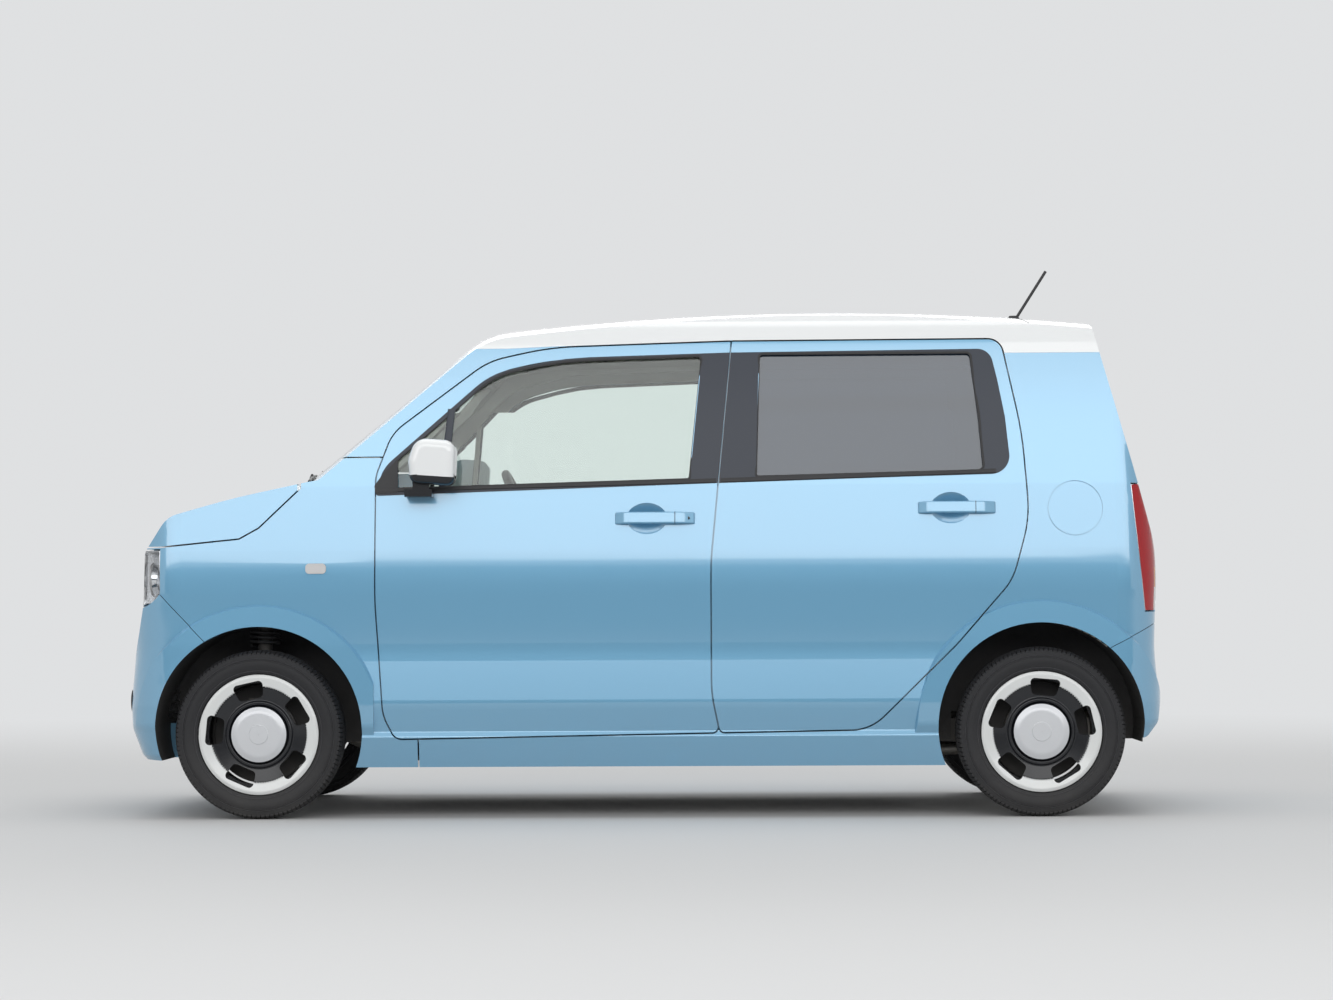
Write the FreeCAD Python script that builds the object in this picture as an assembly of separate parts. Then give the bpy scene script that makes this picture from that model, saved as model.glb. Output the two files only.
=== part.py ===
"""Kei car: a small five-door hatchback with a white roof, built from its panels.

Frame: +X forward, +Y to the car's left, +Z up, millimetres, origin on the ground
under the middle of the body. Every panel is cut from one closed outer form, so
that seams run true across it. The left side is built and mirrored.
"""
import FreeCAD
import Part
import math
import os
from FreeCAD import Vector

# Whole car
LENGTH = 3395.0
WIDTH = 1475.0
ROOF_TOP = 1672.0
FRONT_OVERHANG = 457.0
REAR_OVERHANG = 418.0
HALF_L = LENGTH / 2
HALF_W = WIDTH / 2
FRONT_AXLE_X = HALF_L - FRONT_OVERHANG
REAR_AXLE_X = REAR_OVERHANG - HALF_L
TRACK = 1304.0
HALF_TRACK = TRACK / 2

# Wheels and tyres
TYRE_R = 272.0
TYRE_W = 155.0
RIM_R = 194.0
HUB_BORE_R = 30.0
WHEEL_WINDOWS = 5
WINDOW_PHASE_FRONT = 149.4
WINDOW_PHASE_REAR = 166.7

# Clearances between panels, and of pieces that rest on each other
PANEL_GAP = 5.0
SEAM = 2.0
SEAT_GAP = 0.3
REBATE = 14.0
JAMB = 14.0

# Wall thicknesses
SKIN = 28.0
DOOR_DEPTH = 88.0
GLASS = 5.0
GLASS_INSET = 9.0
SCREEN_INSET = 4.0
LINER_T = 4.0
FLOOR_T = 16.0

# Wheel arches: radius, height of the centre, and how far in they reach
ARCH_FRONT_R = 335.0
ARCH_REAR_R = 332.0
ARCH_FRONT_Z = 285.0
ARCH_REAR_Z = 291.0
ARCH_INNER_Y = 400.0
FLARE_R = (468.0, 386.0)
FLARE_Y = (600.0, 760.0)
FLARE_OUTER_R = 407.0
FLARE_REAR_END_X = 868.0

# Steering and suspension
KINGPIN_Y = HALF_TRACK - 107.0
STEER_WHEEL_R = 180.0
STEER_WHEEL_AT = (430.0, -340.0, 985.0)
STEER_COLUMN_TILT = 25.0
STEER_RIM_T = 15.0
STEER_HUB_R = 62.0
STEER_SPOKES = (0.0, 180.0, 270.0)
STUB_R = HUB_BORE_R - 0.05
STRUT_R = 24.0
BRAKE_R = 115.0
ARM_TOP_Z = 196.0
RACK_X = 1120.0
RACK_R = 22.0
BEAM_X = -1135.0
SPRING_Y = 290.0
SPRING_R = 45.0

# Side section of the flanks: height, inset from the full half-width, corner radius
SIDE_ROWS = [
    (165.0, 38.0, 0.0),
    (262.0, 14.0, 8.0),
    (280.0, 21.0, 8.0),
    (366.0, 4.0, 110.0),
    (535.0, 18.0, 500.0),
    (795.0, 10.0, 1200.0),
    (1072.0, 33.5, 130.0),
    (1310.0, 70.0, 3000.0),
    (1545.0, 125.0, 300.0),
    (1603.0, 144.0, 60.0),
    (1690.0, 400.0, 0.0),
]

# The same section at the bumpers, which have no sill and end below the roof
BUMPER_LOW_ROWS = [(165.0, 78.0, 0.0), (205.0, 40.0, 25.0), (290.0, 8.0, 70.0)]
BUMPER_ROWS = BUMPER_LOW_ROWS + SIDE_ROWS[3:8] + [(1545.0, 125.0, 0.0)]

# Section of the flares over the wheels
FLARE_ROWS = [
    (170.0, 90.0, 0.0),
    (238.0, 34.0, 20.0),
    (300.0, 1.6, 40.0),
    (366.0, -0.2, 150.0),
    (560.0, 0.5, 300.0),
    (715.0, 4.0, 80.0),
    (800.0, 60.0, 0.0),
]

# Plan of the two ends: direction, corner radius, radius of the end's bow
FRONT_END = (1, 190.0, 9000.0)
REAR_END = (-1, 150.0, 8000.0)

# Side view of the nose and of the tail at the centreline: x, z, corner radius
NOSE_PROFILE = [
    (1950.0, 100.0, 0.0),
    (1540.0, 100.0, 0.0),
    (1552.0, 186.0, 0.0),
    (1652.0, 190.0, 25.0),
    (1690.0, 262.0, 70.0),
    (HALF_L, 340.0, 80.0),
    (HALF_L, 440.0, 100.0),
    (1662.0, 600.0, 80.0),
    (1644.0, 700.0, 200.0),
    (1640.0, 862.0, 40.0),
    (1566.0, 975.0, 90.0),
    (1360.0, 1034.0, 2500.0),
    (1110.0, 1087.0, 0.0),
    (700.0, 1160.0, 0.0),
    (700.0, 1900.0, 0.0),
    (1950.0, 1900.0, 0.0),
]
TAIL_PROFILE = [
    (-1950.0, 100.0, 0.0),
    (-1540.0, 100.0, 0.0),
    (-1560.0, 246.0, 0.0),
    (-1650.0, 250.0, 25.0),
    (-1688.0, 300.0, 40.0),
    (-HALF_L, 370.0, 60.0),
    (-HALF_L, 500.0, 100.0),
    (-1686.0, 620.0, 150.0),
    (-1686.0, 860.0, 500.0),
    (-1612.0, 1130.0, 900.0),
    (-1508.0, 1505.0, 300.0),
    (-1477.0, 1617.0, 50.0),
    (-1250.0, 1665.0, 0.0),
    (-1250.0, 1760.0, 0.0),
    (-1950.0, 1760.0, 0.0),
]

# Windscreen line at the centreline, its bow across the car, and the roof's two radii
SCREEN_LOW = (1168.2, 1086.1)
SCREEN_HIGH = (645.2, 1511.1)
SCREEN_BOW = 3500.0
SCREEN_GLASS = [(618.0, 22.0, 60.0), (556.0, 666.0, 60.0), (-556.0, 666.0, 60.0), (-618.0, 22.0, 60.0)]
HEADER_R = 260.0
HEADER_X = 560.0
HEADER_HALF = 539.7
ROOF_LONG_R = 9400.0
ROOF_CROSS_R = 3400.0
ROOF_CREST_X = -600.0

# Cabin and engine bay: half section across, and side views along the car
CABIN_ACROSS = [
    (650.0, 0.0),
    (650.0, 1000.0),
    (640.0, 1076.0),
    (620.0, 1310.0),
    (572.0, 1520.0),
    (520.0, 1575.0),
]
CABIN_CEILING = (1640.0, 3000.0)
CABIN_SCREEN = (38.0, 1041.0)
CABIN_ALONG = [
    (812.0, 0.0),
    (812.0, 1040.0),
    (1100.0, 1040.0),
    (1128.0, 1070.0),
    (628.0, 1477.0),
    (550.0, 1520.0),
    (300.0, 1575.0),
    (-300.0, 1622.0),
    (-900.0, 1630.0),
    (-1360.0, 1590.0),
    (-1435.0, 1490.0),
    (-1545.0, 1110.0),
    (-1612.0, 860.0),
    (-1612.0, 0.0),
]
ENGINE_BAY_HALF = 655.0
ENGINE_BAY_ALONG = [
    (811.0, 0.0),
    (1545.0, 0.0),
    (1545.0, 850.0),
    (1500.0, 950.0),
    (1340.0, 1002.0),
    (1120.0, 1050.0),
    (811.0, 1050.0),
]
BAY_FRONT_X = 1545.0
BOOT_REAR_X = -1612.0

# Doors and their windows in side view: x, z, corner radius
FRONT_DOOR = [
    (862.0, 1105.0, 120.0),
    (864.0, 700.0, 1500.0),
    (838.0, 330.0, 150.0),
    (800.0, 255.0, 40.0),
    (-246.0, 272.0, 20.0),
    (-220.0, 400.0, 400.0),
    (-220.0, 820.0, 900.0),
    (-290.0, 1542.0, 6.0),
    (300.0, 1524.0, 900.0),
    (500.0, 1480.0, 250.0),
    (810.0, 1245.0, 150.0),
]
REAR_DOOR = [
    (-246.0, 272.0, 20.0),
    (-730.0, 280.0, 150.0),
    (-1010.0, 555.0, 500.0),
    (-1190.0, 760.0, 200.0),
    (-1246.0, 960.0, 400.0),
    (-1226.0, 1240.0, 1200.0),
    (-1164.0, 1545.0, 50.0),
    (-290.0, 1542.0, 6.0),
    (-220.0, 820.0, 900.0),
    (-220.0, 400.0, 400.0),
]
FRONT_WINDOW = [
    (860.0, 1062.0, 18.0),
    (-150.0, 1078.0, 18.0),
    (-192.0, 1498.0, 18.0),
    (300.0, 1484.0, 900.0),
    (480.0, 1442.0, 250.0),
    (800.0, 1160.0, 120.0),
]
REAR_WINDOW = [
    (-362.0, 1086.0, 18.0),
    (-1106.0, 1106.0, 30.0),
    (-1100.0, 1290.0, 900.0),
    (-1064.0, 1503.0, 30.0),
    (-382.0, 1503.0, 18.0),
]
QUARTER_BAR = [(600.0, 1460.0), (618.0, 1460.0), (656.0, 1050.0), (640.0, 1050.0)]
BELT_Z = 1062.0
FRONT_DOOR_HINGE_X = 852.0
REAR_DOOR_HINGE_X = -232.0
DOOR_HINGE_HEIGHTS = (430.0, 840.0)

# Door handles: front end, rear end, middle height, middle of the hand cup
FRONT_HANDLE = (89.0, -170.0, 963.0, -14.0)
REAR_HANDLE = (-887.0, -1138.0, 993.0, -993.5)
HANDLE_HALF_H = 19.0
HANDLE_PROUD = 28.0
HANDLE_GRIP_T = 12.0
HANDLE_FRONT_FOOT = 38.0
HANDLE_REAR_FOOT = 78.0
CUP_DEPTH = 22.0
CUP_HALF_LONG = 66.0
CUP_HALF_HIGH = 51.0

# Fuel lid
FUEL_LID_AT = (-1393.0, 990.0)
FUEL_LID_R = 89.0

# Seams in side view
ROOF_LINE = [
    (760.0, 1521.0),
    (440.0, 1521.0),
    (300.0, 1527.0),
    (-290.0, 1544.5),
    (-1120.0, 1547.5),
    (-1175.0, 1498.0),
    (-1800.0, 1498.0),
]
BONNET_SEAM = [
    (1800.0, 876.0),
    (1553.0, 878.0),
    (1303.0, 903.0),
    (1240.0, 938.0),
    (1106.0, 1066.0),
    (1106.0, 1300.0),
    (1800.0, 1300.0),
]
FRONT_BUMPER_SEAM = [
    (1800.0, 733.0),
    (1568.0, 733.0),
    (1421.0, 580.0),
    (1380.0, 540.0),
    (1380.0, 100.0),
    (1800.0, 100.0),
]
REAR_BUMPER_SEAM = [
    (-1800.0, 618.0),
    (-1652.0, 617.0),
    (-1508.0, 544.0),
    (-1440.0, 500.0),
    (-1440.0, 100.0),
    (-1800.0, 100.0),
]
FENDER_REAR_X = 725.0
FENDER_PILLAR_Z = 1166.0
BONNET_REAR_X = 1116.0
COWL_FRONT_X = 1190.0
COWL_HALF = 600.0

# Openings in the two ends, seen from the front or the rear: y, z, corner radius
HEADLAMP = [(398.0, 662.0, 30.0), (690.0, 690.0, 60.0), (760.0, 868.0, 20.0), (412.0, 862.0, 30.0)]
GRILLE = [(-386.0, 706.0, 30.0), (386.0, 706.0, 30.0), (398.0, 862.0, 30.0), (-398.0, 862.0, 30.0)]
INTAKE = [(-470.0, 300.0, 30.0), (470.0, 300.0, 30.0), (430.0, 455.0, 40.0), (-430.0, 455.0, 40.0)]
TAIL_LAMP = [(603.0, 660.0, 30.0), (800.0, 660.0, 30.0), (800.0, 1066.0, 30.0), (607.0, 1066.0, 20.0)]
TAILGATE = [(588.0, 624.0, 30.0), (594.0, 1075.0, 60.0), (588.0, 1300.0, 400.0), (552.0, 1495.0, 30.0)]
TAILGATE_WINDOW = [(520.0, 1128.0, 40.0), (500.0, 1462.0, 40.0), (-500.0, 1462.0, 40.0), (-520.0, 1128.0, 40.0)]
PLATE_RECESS = [(-200.0, 694.0, 24.0), (200.0, 694.0, 24.0), (200.0, 862.0, 24.0), (-200.0, 862.0, 24.0)]
MARKER = [(1021.0, 789.5, 12.0), (1087.0, 789.5, 12.0), (1087.0, 822.5, 12.0), (1021.0, 822.5, 12.0)]
HEADLAMP_BACK_X = 1560.0
GRILLE_BACK_X = 1590.0
INTAKE_BACK_X = 1600.0
FOG_POCKET = (560.0, 378.0, 42.0, 1660.0)

# Number plate pads: face, half width, lowest and highest edge, height of the holes
PLATE_PAD_FRONT = (HALF_L, 168.0, 470.0, 620.0, 590.0)
PLATE_PAD_REAR = (-1672.0, 150.0, 745.0, 830.0, 800.0)
PLATE_RECESS_X = -1664.0
PLATE_HOLE_PITCH = 210.0
PLATE_HOLE_R = 3.0
PLATE_HOLE_DEPTH = 30.0

# Floor, front frame and wheel liners
FLOOR_Z = 200.0
REAR_FLOOR_Z = 300.0
BOOT_FLOOR_Z = 400.0
FLOOR_HALF = 649.7
FIREWALL_X = (829.0, 846.0)
SHELF_Z = (1022.0, 1038.0)
RAIL_Y = (320.0, 380.0)
LINER_LOW_Z = 236.0
LINER_WALL_LOW_Z = 330.0

# Door mirrors in side view, and how far out the cover stands
MIRROR_COVER = [(746.0, 1150.0, 40.0), (740.0, 1078.0, 28.0), (598.0, 1068.0, 26.0), (592.0, 1212.0, 38.0), (722.0, 1222.0, 50.0)]
MIRROR_Y = (752.0, 850.0)
MIRROR_GLASS_DEPTH = 5.0

# Wheel sections: place along the axle, radius
TYRE_ROWS = [
    (-57.0, 178.5, 0.0),
    (-57.0, 195.0, 0.0),
    (-68.0, 198.0, 6.0),
    (-TYRE_W / 2, 228.0, 30.0),
    (-67.0, 265.0, 12.0),
    (-46.0, TYRE_R, 60.0),
    (46.0, TYRE_R, 60.0),
    (67.0, 265.0, 12.0),
    (TYRE_W / 2, 228.0, 30.0),
    (68.0, 198.0, 6.0),
    (57.0, 195.0, 0.0),
    (57.0, 178.5, 0.0),
]
RIM_ROWS = [
    (-56.7, 168.0, 0.0),
    (-64.0, 168.0, 0.0),
    (-64.0, RIM_R, 0.0),
    (-57.3, RIM_R, 0.0),
    (-57.3, 177.6, 0.0),
    (57.3, 177.6, 0.0),
    (57.3, RIM_R, 0.0),
    (64.0, RIM_R, 3.0),
    (67.5, 184.0, 8.0),
    (61.0, 157.0, 5.0),
    (51.0, 152.0, 3.0),
    (45.0, 110.0, 4.0),
    (54.0, 105.0, 3.0),
    (54.0, 97.0, 3.0),
    (47.0, 94.0, 0.0),
    (57.0, 90.5, 4.0),
    (64.0, 72.0, 30.0),
    (65.0, 31.0, 1.5),
    (67.0, 30.0, 0.5),
    (67.0, 1.0, 0.0),
    (58.0, 1.0, 0.0),
    (57.0, 45.0, 0.0),
    (20.0, 45.0, 0.0),
    (20.0, 84.0, 0.0),
    (38.0, 100.0, 0.0),
    (42.0, 158.0, 0.0),
    (20.0, 168.0, 0.0),
]
RIM_WINDOW = [(-52.0, 170.0, 14.0), (-38.0, 116.0, 14.0), (38.0, 116.0, 14.0), (52.0, 170.0, 14.0)]

# Cabin pieces in side view: x, z, corner radius
DASHBOARD = [(828.7, 700.0, 0.0), (560.0, 720.0, 60.0), (520.0, 860.0, 40.0), (600.0, 985.0, 60.0), (828.7, 1021.7, 0.0)]
DASHBOARD_HALF = 612.0
SEAT_CUSHION = [
    (250.0, 380.0, 30.0),
    (270.0, 500.0, 50.0),
    (-90.0, 470.0, 60.0),
    (-225.0, 1000.0, 45.0),
    (-335.0, 985.0, 45.0),
    (-200.0, 420.0, 40.0),
    (-170.0, 370.0, 20.0),
]
SEAT_HEAD = [(-225.0, 990.0, 10.0), (-240.0, 1180.0, 30.0), (-315.0, 1175.0, 30.0), (-315.0, 975.0, 10.0)]
SEAT_HALF = 250.0
HEADREST_HALF = 110.0
SEAT_Y = 330.0
REAR_BENCH = [
    (-520.0, 316.3, 20.0),
    (-500.0, 500.0, 50.0),
    (-800.0, 470.0, 60.0),
    (-900.0, 1010.0, 40.0),
    (-985.0, 1000.0, 35.0),
    (-860.0, 420.0, 30.0),
    (-840.0, 316.3, 10.0),
]
BENCH_HALF = 600.0

# Pieces under the car
ENGINE_BLOCK = (1000.0, 1400.0, -319.7, 319.7, 300.0, 860.0)
RADIATOR = (1484.0, 1519.7, -319.7, 319.7, 340.0, 790.0)
FUEL_TANK = (-850.0, -570.0, -560.0, 20.0, 180.0, 299.7)
EXHAUST_PATH = [
    (1040.0, 60.0, 250.0),
    (880.0, 60.0, 178.7),
    (-520.0, 60.0, 178.7),
    (-800.0, 200.0, 190.0),
    (-1190.0, 200.0, 204.0),
    (-1300.0, 200.0, 250.0),
]
EXHAUST_R = 21.0
SILENCER = (-1560.0, -1230.0, -100.0, 320.0, 205.0, 335.0)
TRAILING_ARM = [
    (-1310.0, 235.0),
    (-1310.0, 310.0),
    (-1180.0, 315.0),
    (-900.0, 300.0),
    (-900.0, 235.0),
    (-1100.0, 225.0),
]
FRONT_ARM = [(1310.0, 200.0), (1170.0, 200.0), (1190.0, 420.0), (1215.0, 545.0), (1265.0, 545.0)]

nodes = {}


def in_side_view(y=0.0):
    return lambda p: Vector(p.x, y, p.y)


def in_cross_view(x=0.0):
    return lambda p: Vector(x, p.x, p.y)


def in_plan(z=0.0):
    return lambda p: Vector(p.x, p.y, z)


def outline(points, place):
    """Closed wire through (u, v, corner radius) points, as lines and tangent arcs."""
    starts = []
    middles = []
    ends = []
    count = len(points)
    for index, (u, v, radius) in enumerate(points):
        corner = Vector(u, v, 0)
        before = Vector(points[index - 1][0], points[index - 1][1], 0) - corner
        after = Vector(points[(index + 1) % count][0], points[(index + 1) % count][1], 0) - corner
        before.normalize()
        after.normalize()
        angle = before.getAngle(after)
        if radius <= 0 or math.pi - angle < 1e-4:
            starts.append(corner)
            middles.append(None)
            ends.append(corner)
            continue
        reach = radius / math.tan(angle / 2)
        inward = before + after
        inward.normalize()
        centre = corner + inward * (radius / math.sin(angle / 2))
        starts.append(corner + before * reach)
        middles.append(centre - inward * radius)
        ends.append(corner + after * reach)
    edges = []
    for index in range(count):
        if middles[index] is not None:
            arc = Part.Arc(place(starts[index]), place(middles[index]), place(ends[index]))
            edges.append(arc.toShape())
        following = starts[(index + 1) % count]
        if (following - ends[index]).Length > 1e-6:
            edges.append(Part.LineSegment(place(ends[index]), place(following)).toShape())
    return Part.Wire(edges)


def face(points, place):
    rows = [row if len(row) == 3 else (row[0], row[1], 0.0) for row in points]
    return Part.Face(outline(rows, place))


def side_prism(points, y0, y1):
    """A side-view outline carried across the car from y0 to y1."""
    return face(points, in_side_view(y0)).extrude(Vector(0, y1 - y0, 0))


def cross_prism(points, x0, x1):
    """An outline seen from the front or the rear, carried along the car."""
    return face(points, in_cross_view(x0)).extrude(Vector(x1 - x0, 0, 0))


def plan_prism(points, z0, z1):
    return face(points, in_plan(z0)).extrude(Vector(0, 0, z1 - z0))


def grown_prism(points, amount, y0, y1):
    """A side-view outline moved outwards by amount, or inwards if it is negative."""
    wire = face(points, in_side_view(y0)).OuterWire.makeOffset2D(amount)
    return Part.Face(wire).extrude(Vector(0, y1 - y0, 0))


def box(x0, x1, y0, y1, z0, z1):
    return Part.makeBox(x1 - x0, y1 - y0, z1 - z0, Vector(x0, y0, z0))


def across_both(x0, x1, y0, y1, z0, z1):
    """The same box on the left and on the right."""
    return [box(x0, x1, y0, y1, z0, z1), box(x0, x1, -y1, -y0, z0, z1)]


def rounded_box(x0, x1, y0, y1, z0, z1, radius):
    block = box(x0, x1, y0, y1, z0, z1)
    return block.makeFillet(radius, block.Edges)


def cylinder(radius, start, end):
    along = Vector(*end) - Vector(*start)
    return Part.makeCylinder(radius, along.Length, Vector(*start), along)


def mirrored(shape):
    return shape.mirror(Vector(0, 0, 0), Vector(0, 1, 0))


def both_sides(shape):
    return Part.makeCompound([shape, mirrored(shape)])


def fused(shapes):
    return shapes[0].multiFuse(shapes[1:]).removeSplitter()


def largest(shape):
    return max(shape.Solids, key=lambda solid: solid.Volume)


def add(name, shape):
    nodes[name] = shape


def side_points(depth, rows=SIDE_ROWS):
    return [(HALF_W - inset - depth, z, radius) for z, inset, radius in rows]


def flank_y(z):
    """How far out the flank's surface stands at a height."""
    for (low_z, low_inset, _), (high_z, high_inset, _) in zip(SIDE_ROWS[:-1], SIDE_ROWS[1:]):
        if low_z <= z <= high_z:
            share = (z - low_z) / (high_z - low_z)
            return HALF_W - low_inset - share * (high_inset - low_inset)
    return HALF_W


def flank_lean(z):
    """The angle by which the flank leans inwards at a height, in degrees."""
    return math.degrees(math.atan(flank_y(z - 0.5) - flank_y(z + 0.5)))


def end_plan(end):
    """Where an end's corner arc is centred, and how far the bow's arc turns."""
    way, corner_r, bow_r = end
    bow_x = HALF_L - bow_r
    corner_y = HALF_W - corner_r
    corner_x = bow_x + math.sqrt((bow_r - corner_r) ** 2 - corner_y ** 2)
    turn = math.degrees(math.asin(corner_y / (bow_r - corner_r)))
    return bow_x, corner_x, corner_y, turn


def end_section(rows, inner_r, outer_r, place):
    """The flank's section at an end, closed at the radius it is revolved from."""
    kept = [(outer_r - inset, z, radius) for z, inset, radius in rows if outer_r - inset > inner_r + 5]
    section = [(inner_r, kept[0][1], 0.0)] + kept + [(inner_r, kept[-1][1], 0.0)]
    return face(section, place)


def side_body(rows, end_rows):
    """The body's sides all round: straight flanks, arced corners and bowed ends."""
    half = side_points(0.0, rows)
    ring = half + [(-y, z, radius) for y, z, radius in reversed(half)]
    pieces = [cross_prism(ring, -end_plan(REAR_END)[1], end_plan(FRONT_END)[1])]
    for end in (FRONT_END, REAR_END):
        way, corner_r, bow_r = end
        bow_x, corner_x, corner_y, turn = end_plan(end)
        for side in (1, -1):
            def at_corner(p, side=side):
                return Vector(way * corner_x, side * (corner_y + p.x), p.y)
            section = end_section(end_rows, 0.0, corner_r, at_corner)
            axis_at = Vector(way * corner_x, side * corner_y, 0)
            pieces.append(section.revolve(axis_at, Vector(0, 0, 1), -(90 - turn) * way * side))

        def at_bow(p):
            return Vector(way * (bow_x + p.x), 0, p.y)
        section = end_section(end_rows, corner_x - bow_x - 60, bow_r, at_bow)
        section.rotate(Vector(way * bow_x, 0, 0), Vector(0, 0, 1), -turn)
        pieces.append(section.revolve(Vector(way * bow_x, 0, 0), Vector(0, 0, 1), 2 * turn))
    return fused(pieces)


def roof_dome():
    """Everything below the roof's surface, which is bowed both along and across."""
    half = 900.0
    low = ROOF_TOP - ROOF_CROSS_R + math.sqrt(ROOF_CROSS_R ** 2 - half ** 2)
    left = Vector(ROOF_CREST_X, half, low)
    right = Vector(ROOF_CREST_X, -half, low)
    crest = Part.Arc(right, Vector(ROOF_CREST_X, 0, ROOF_TOP), left).toShape()
    foot = [left, Vector(ROOF_CREST_X, half, 0), Vector(ROOF_CREST_X, -half, 0), right]
    section = Part.Face(Part.Wire([crest] + Part.makePolygon(foot).Edges))
    centre = Vector(ROOF_CREST_X, 0, ROOF_TOP - ROOF_LONG_R)
    section.rotate(centre, Vector(0, 1, 0), -8.0)
    return section.revolve(centre, Vector(0, 1, 0), 21.0)


SCREEN_ALONG = Vector(SCREEN_HIGH[0] - SCREEN_LOW[0], 0, SCREEN_HIGH[1] - SCREEN_LOW[1])
SCREEN_ALONG.normalize()
SCREEN_OUT = Vector(SCREEN_ALONG.z, 0, -SCREEN_ALONG.x)


def on_screen(across, along, out):
    """A point by its place across and along the windscreen and its height off it."""
    foot = Vector(SCREEN_LOW[0], 0, SCREEN_LOW[1])
    return foot + Vector(0, across, 0) + SCREEN_ALONG * along + SCREEN_OUT * out


def screen_solid(depth):
    """Everything behind the windscreen's bowed surface, depth below it."""
    half = 900.0
    radius = SCREEN_BOW - depth
    sag = radius - math.sqrt(radius ** 2 - half ** 2)
    start = -1500.0
    far = -2400.0

    def at(across, out):
        return on_screen(across, start, out - depth)
    arc = Part.Arc(at(-half, -sag), at(0, 0), at(half, -sag)).toShape()
    back = Part.makePolygon([at(half, -sag), at(half, far), at(-half, far), at(-half, -sag)])
    section = Part.Face(Part.Wire([arc] + back.Edges))
    return section.extrude(SCREEN_ALONG * (LENGTH + WIDTH))


def screen_prism(grow, out0, out1):
    """The windscreen's outline, grown all round, carried along its normal."""
    section = face(scaled_rows(SCREEN_GLASS, grow), lambda p: on_screen(p.x, p.y, out0))
    return section.extrude(SCREEN_OUT * (out1 - out0))


def beyond_end(profile, end, shift):
    """Everything beyond a nose or tail profile swept round the end's bow."""
    way, corner_r, bow_r = end
    centre = Vector(way * (HALF_L - bow_r), 0, 0)
    section = face([(x - way * shift, z, radius) for x, z, radius in profile], in_side_view())
    section.rotate(centre, Vector(0, 0, 1), -12)
    return section.revolve(centre, Vector(0, 0, 1), 24)


def flares():
    """The raised band round each wheel arch, left front and left rear."""
    form = side_body(FLARE_ROWS, FLARE_ROWS)
    bands = []
    for x, z, start_x, end_x in ((FRONT_AXLE_X, ARCH_FRONT_Z, FLARE_REAR_END_X, 1900.0), (REAR_AXLE_X, ARCH_REAR_Z, -1900.0, 0.0)):
        cone = Part.makeCone(FLARE_R[0], FLARE_R[1], FLARE_Y[1] - FLARE_Y[0], Vector(x, FLARE_Y[0], z), Vector(0, 1, 0))
        drum = cylinder(FLARE_OUTER_R, (x, 500, z), (x, 900, z))
        bands.append(form.common(cone).common(drum).common(box(start_x, end_x, 0, 900, 0, 900)))
    return bands


def body_outer(bands):
    """The closed outer form of the body."""
    sides = side_body(SIDE_ROWS, BUMPER_ROWS)
    cabin = roof_dome().common(screen_solid(0.0))
    header = [edge for edge in cabin.Edges if edge.BoundBox.YLength > WIDTH and 300 < edge.CenterOfMass.x < 900]
    header = [edge for edge in header if edge.BoundBox.ZMin > ROOF_TOP / 2]
    cabin = cabin.makeFillet(HEADER_R, header)
    cabin = cabin.common(box(-1900, 1250, -1000, 1000, 0, 1900)).common(sides)
    cabin = cabin.cut(beyond_end(TAIL_PROFILE, REAR_END, 0.0))
    nose = sides.common(box(900, 1900, -1000, 1000, 0, 1300)).cut(beyond_end(NOSE_PROFILE, FRONT_END, 0.0))
    body = cabin.fuse(nose).removeSplitter()
    bands = bands + [mirrored(band) for band in bands]
    bands = [band.cut([beyond_end(NOSE_PROFILE, FRONT_END, 0.0), beyond_end(TAIL_PROFILE, REAR_END, 0.0)]) for band in bands]
    return fused([body] + bands)


def cabin_space():
    """The space inside the cabin and the boot."""
    across = [(y, z, 0.0) for y, z in CABIN_ACROSS]
    ring = across + [(0.0, CABIN_CEILING[0], CABIN_CEILING[1])] + [(-y, z, r) for y, z, r in reversed(across)]
    space = cross_prism(ring, -1700, 1300).common(side_prism(CABIN_ALONG, -700, 700))
    return space.cut(box(500, 1300, -700, 700, CABIN_SCREEN[1], 1700).cut(screen_solid(CABIN_SCREEN[0])))


def engine_space():
    """The engine bay, open below."""
    return side_prism(ENGINE_BAY_ALONG, -ENGINE_BAY_HALF, ENGINE_BAY_HALF)


def arch_tunnel(x, z, radius):
    return cylinder(radius, (x, ARCH_INNER_Y, z), (x, 900, z))


def side_layer(depth0, depth1, x0, x1, z0=170.0, z1=1640.0):
    """The stretch of the left flank between two depths below its surface."""
    inner = [(y, z, 0.0) for y, z, radius in reversed(side_points(depth1))]
    layer = cross_prism(side_points(depth0) + inner, x0, x1)
    return layer.common(box(x0, x1, 0, 1000, z0, z1))


def region_of(points, gap=PANEL_GAP):
    """A panel's region across the whole car, less half of the gap."""
    return grown_prism(points, -gap / 2, -900, 900)


def clear_of(points, gap=PANEL_GAP):
    """The same region plus half of the gap, to cut from its neighbours."""
    return grown_prism(points, gap / 2, -900, 900)


def roof_region():
    return ROOF_LINE + [(-1800.0, 1900.0), (760.0, 1900.0)]


def tailgate_prism(grow):
    """The tailgate in rear view, down to the bumper's seam."""
    half = []
    for y, z, radius in TAILGATE:
        step_z = -2 * grow if z < 700 else (grow if z > 1400 else 0.0)
        half.append((y + grow, z + step_z, radius))
    return cross_prism(half + [(-y, z, radius) for y, z, radius in reversed(half)], -1800, -1400)


def scaled_rows(rows, grow):
    """Rows of an outline, moved away from their middle by grow."""
    middle_u = sum(row[0] for row in rows) / len(rows)
    middle_v = sum(row[1] for row in rows) / len(rows)
    moved = []
    for u, v, radius in rows:
        step_u = grow if u > middle_u else -grow
        step_v = grow if v > middle_v else -grow
        moved.append((u + step_u, v + step_v, radius))
    return moved


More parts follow.
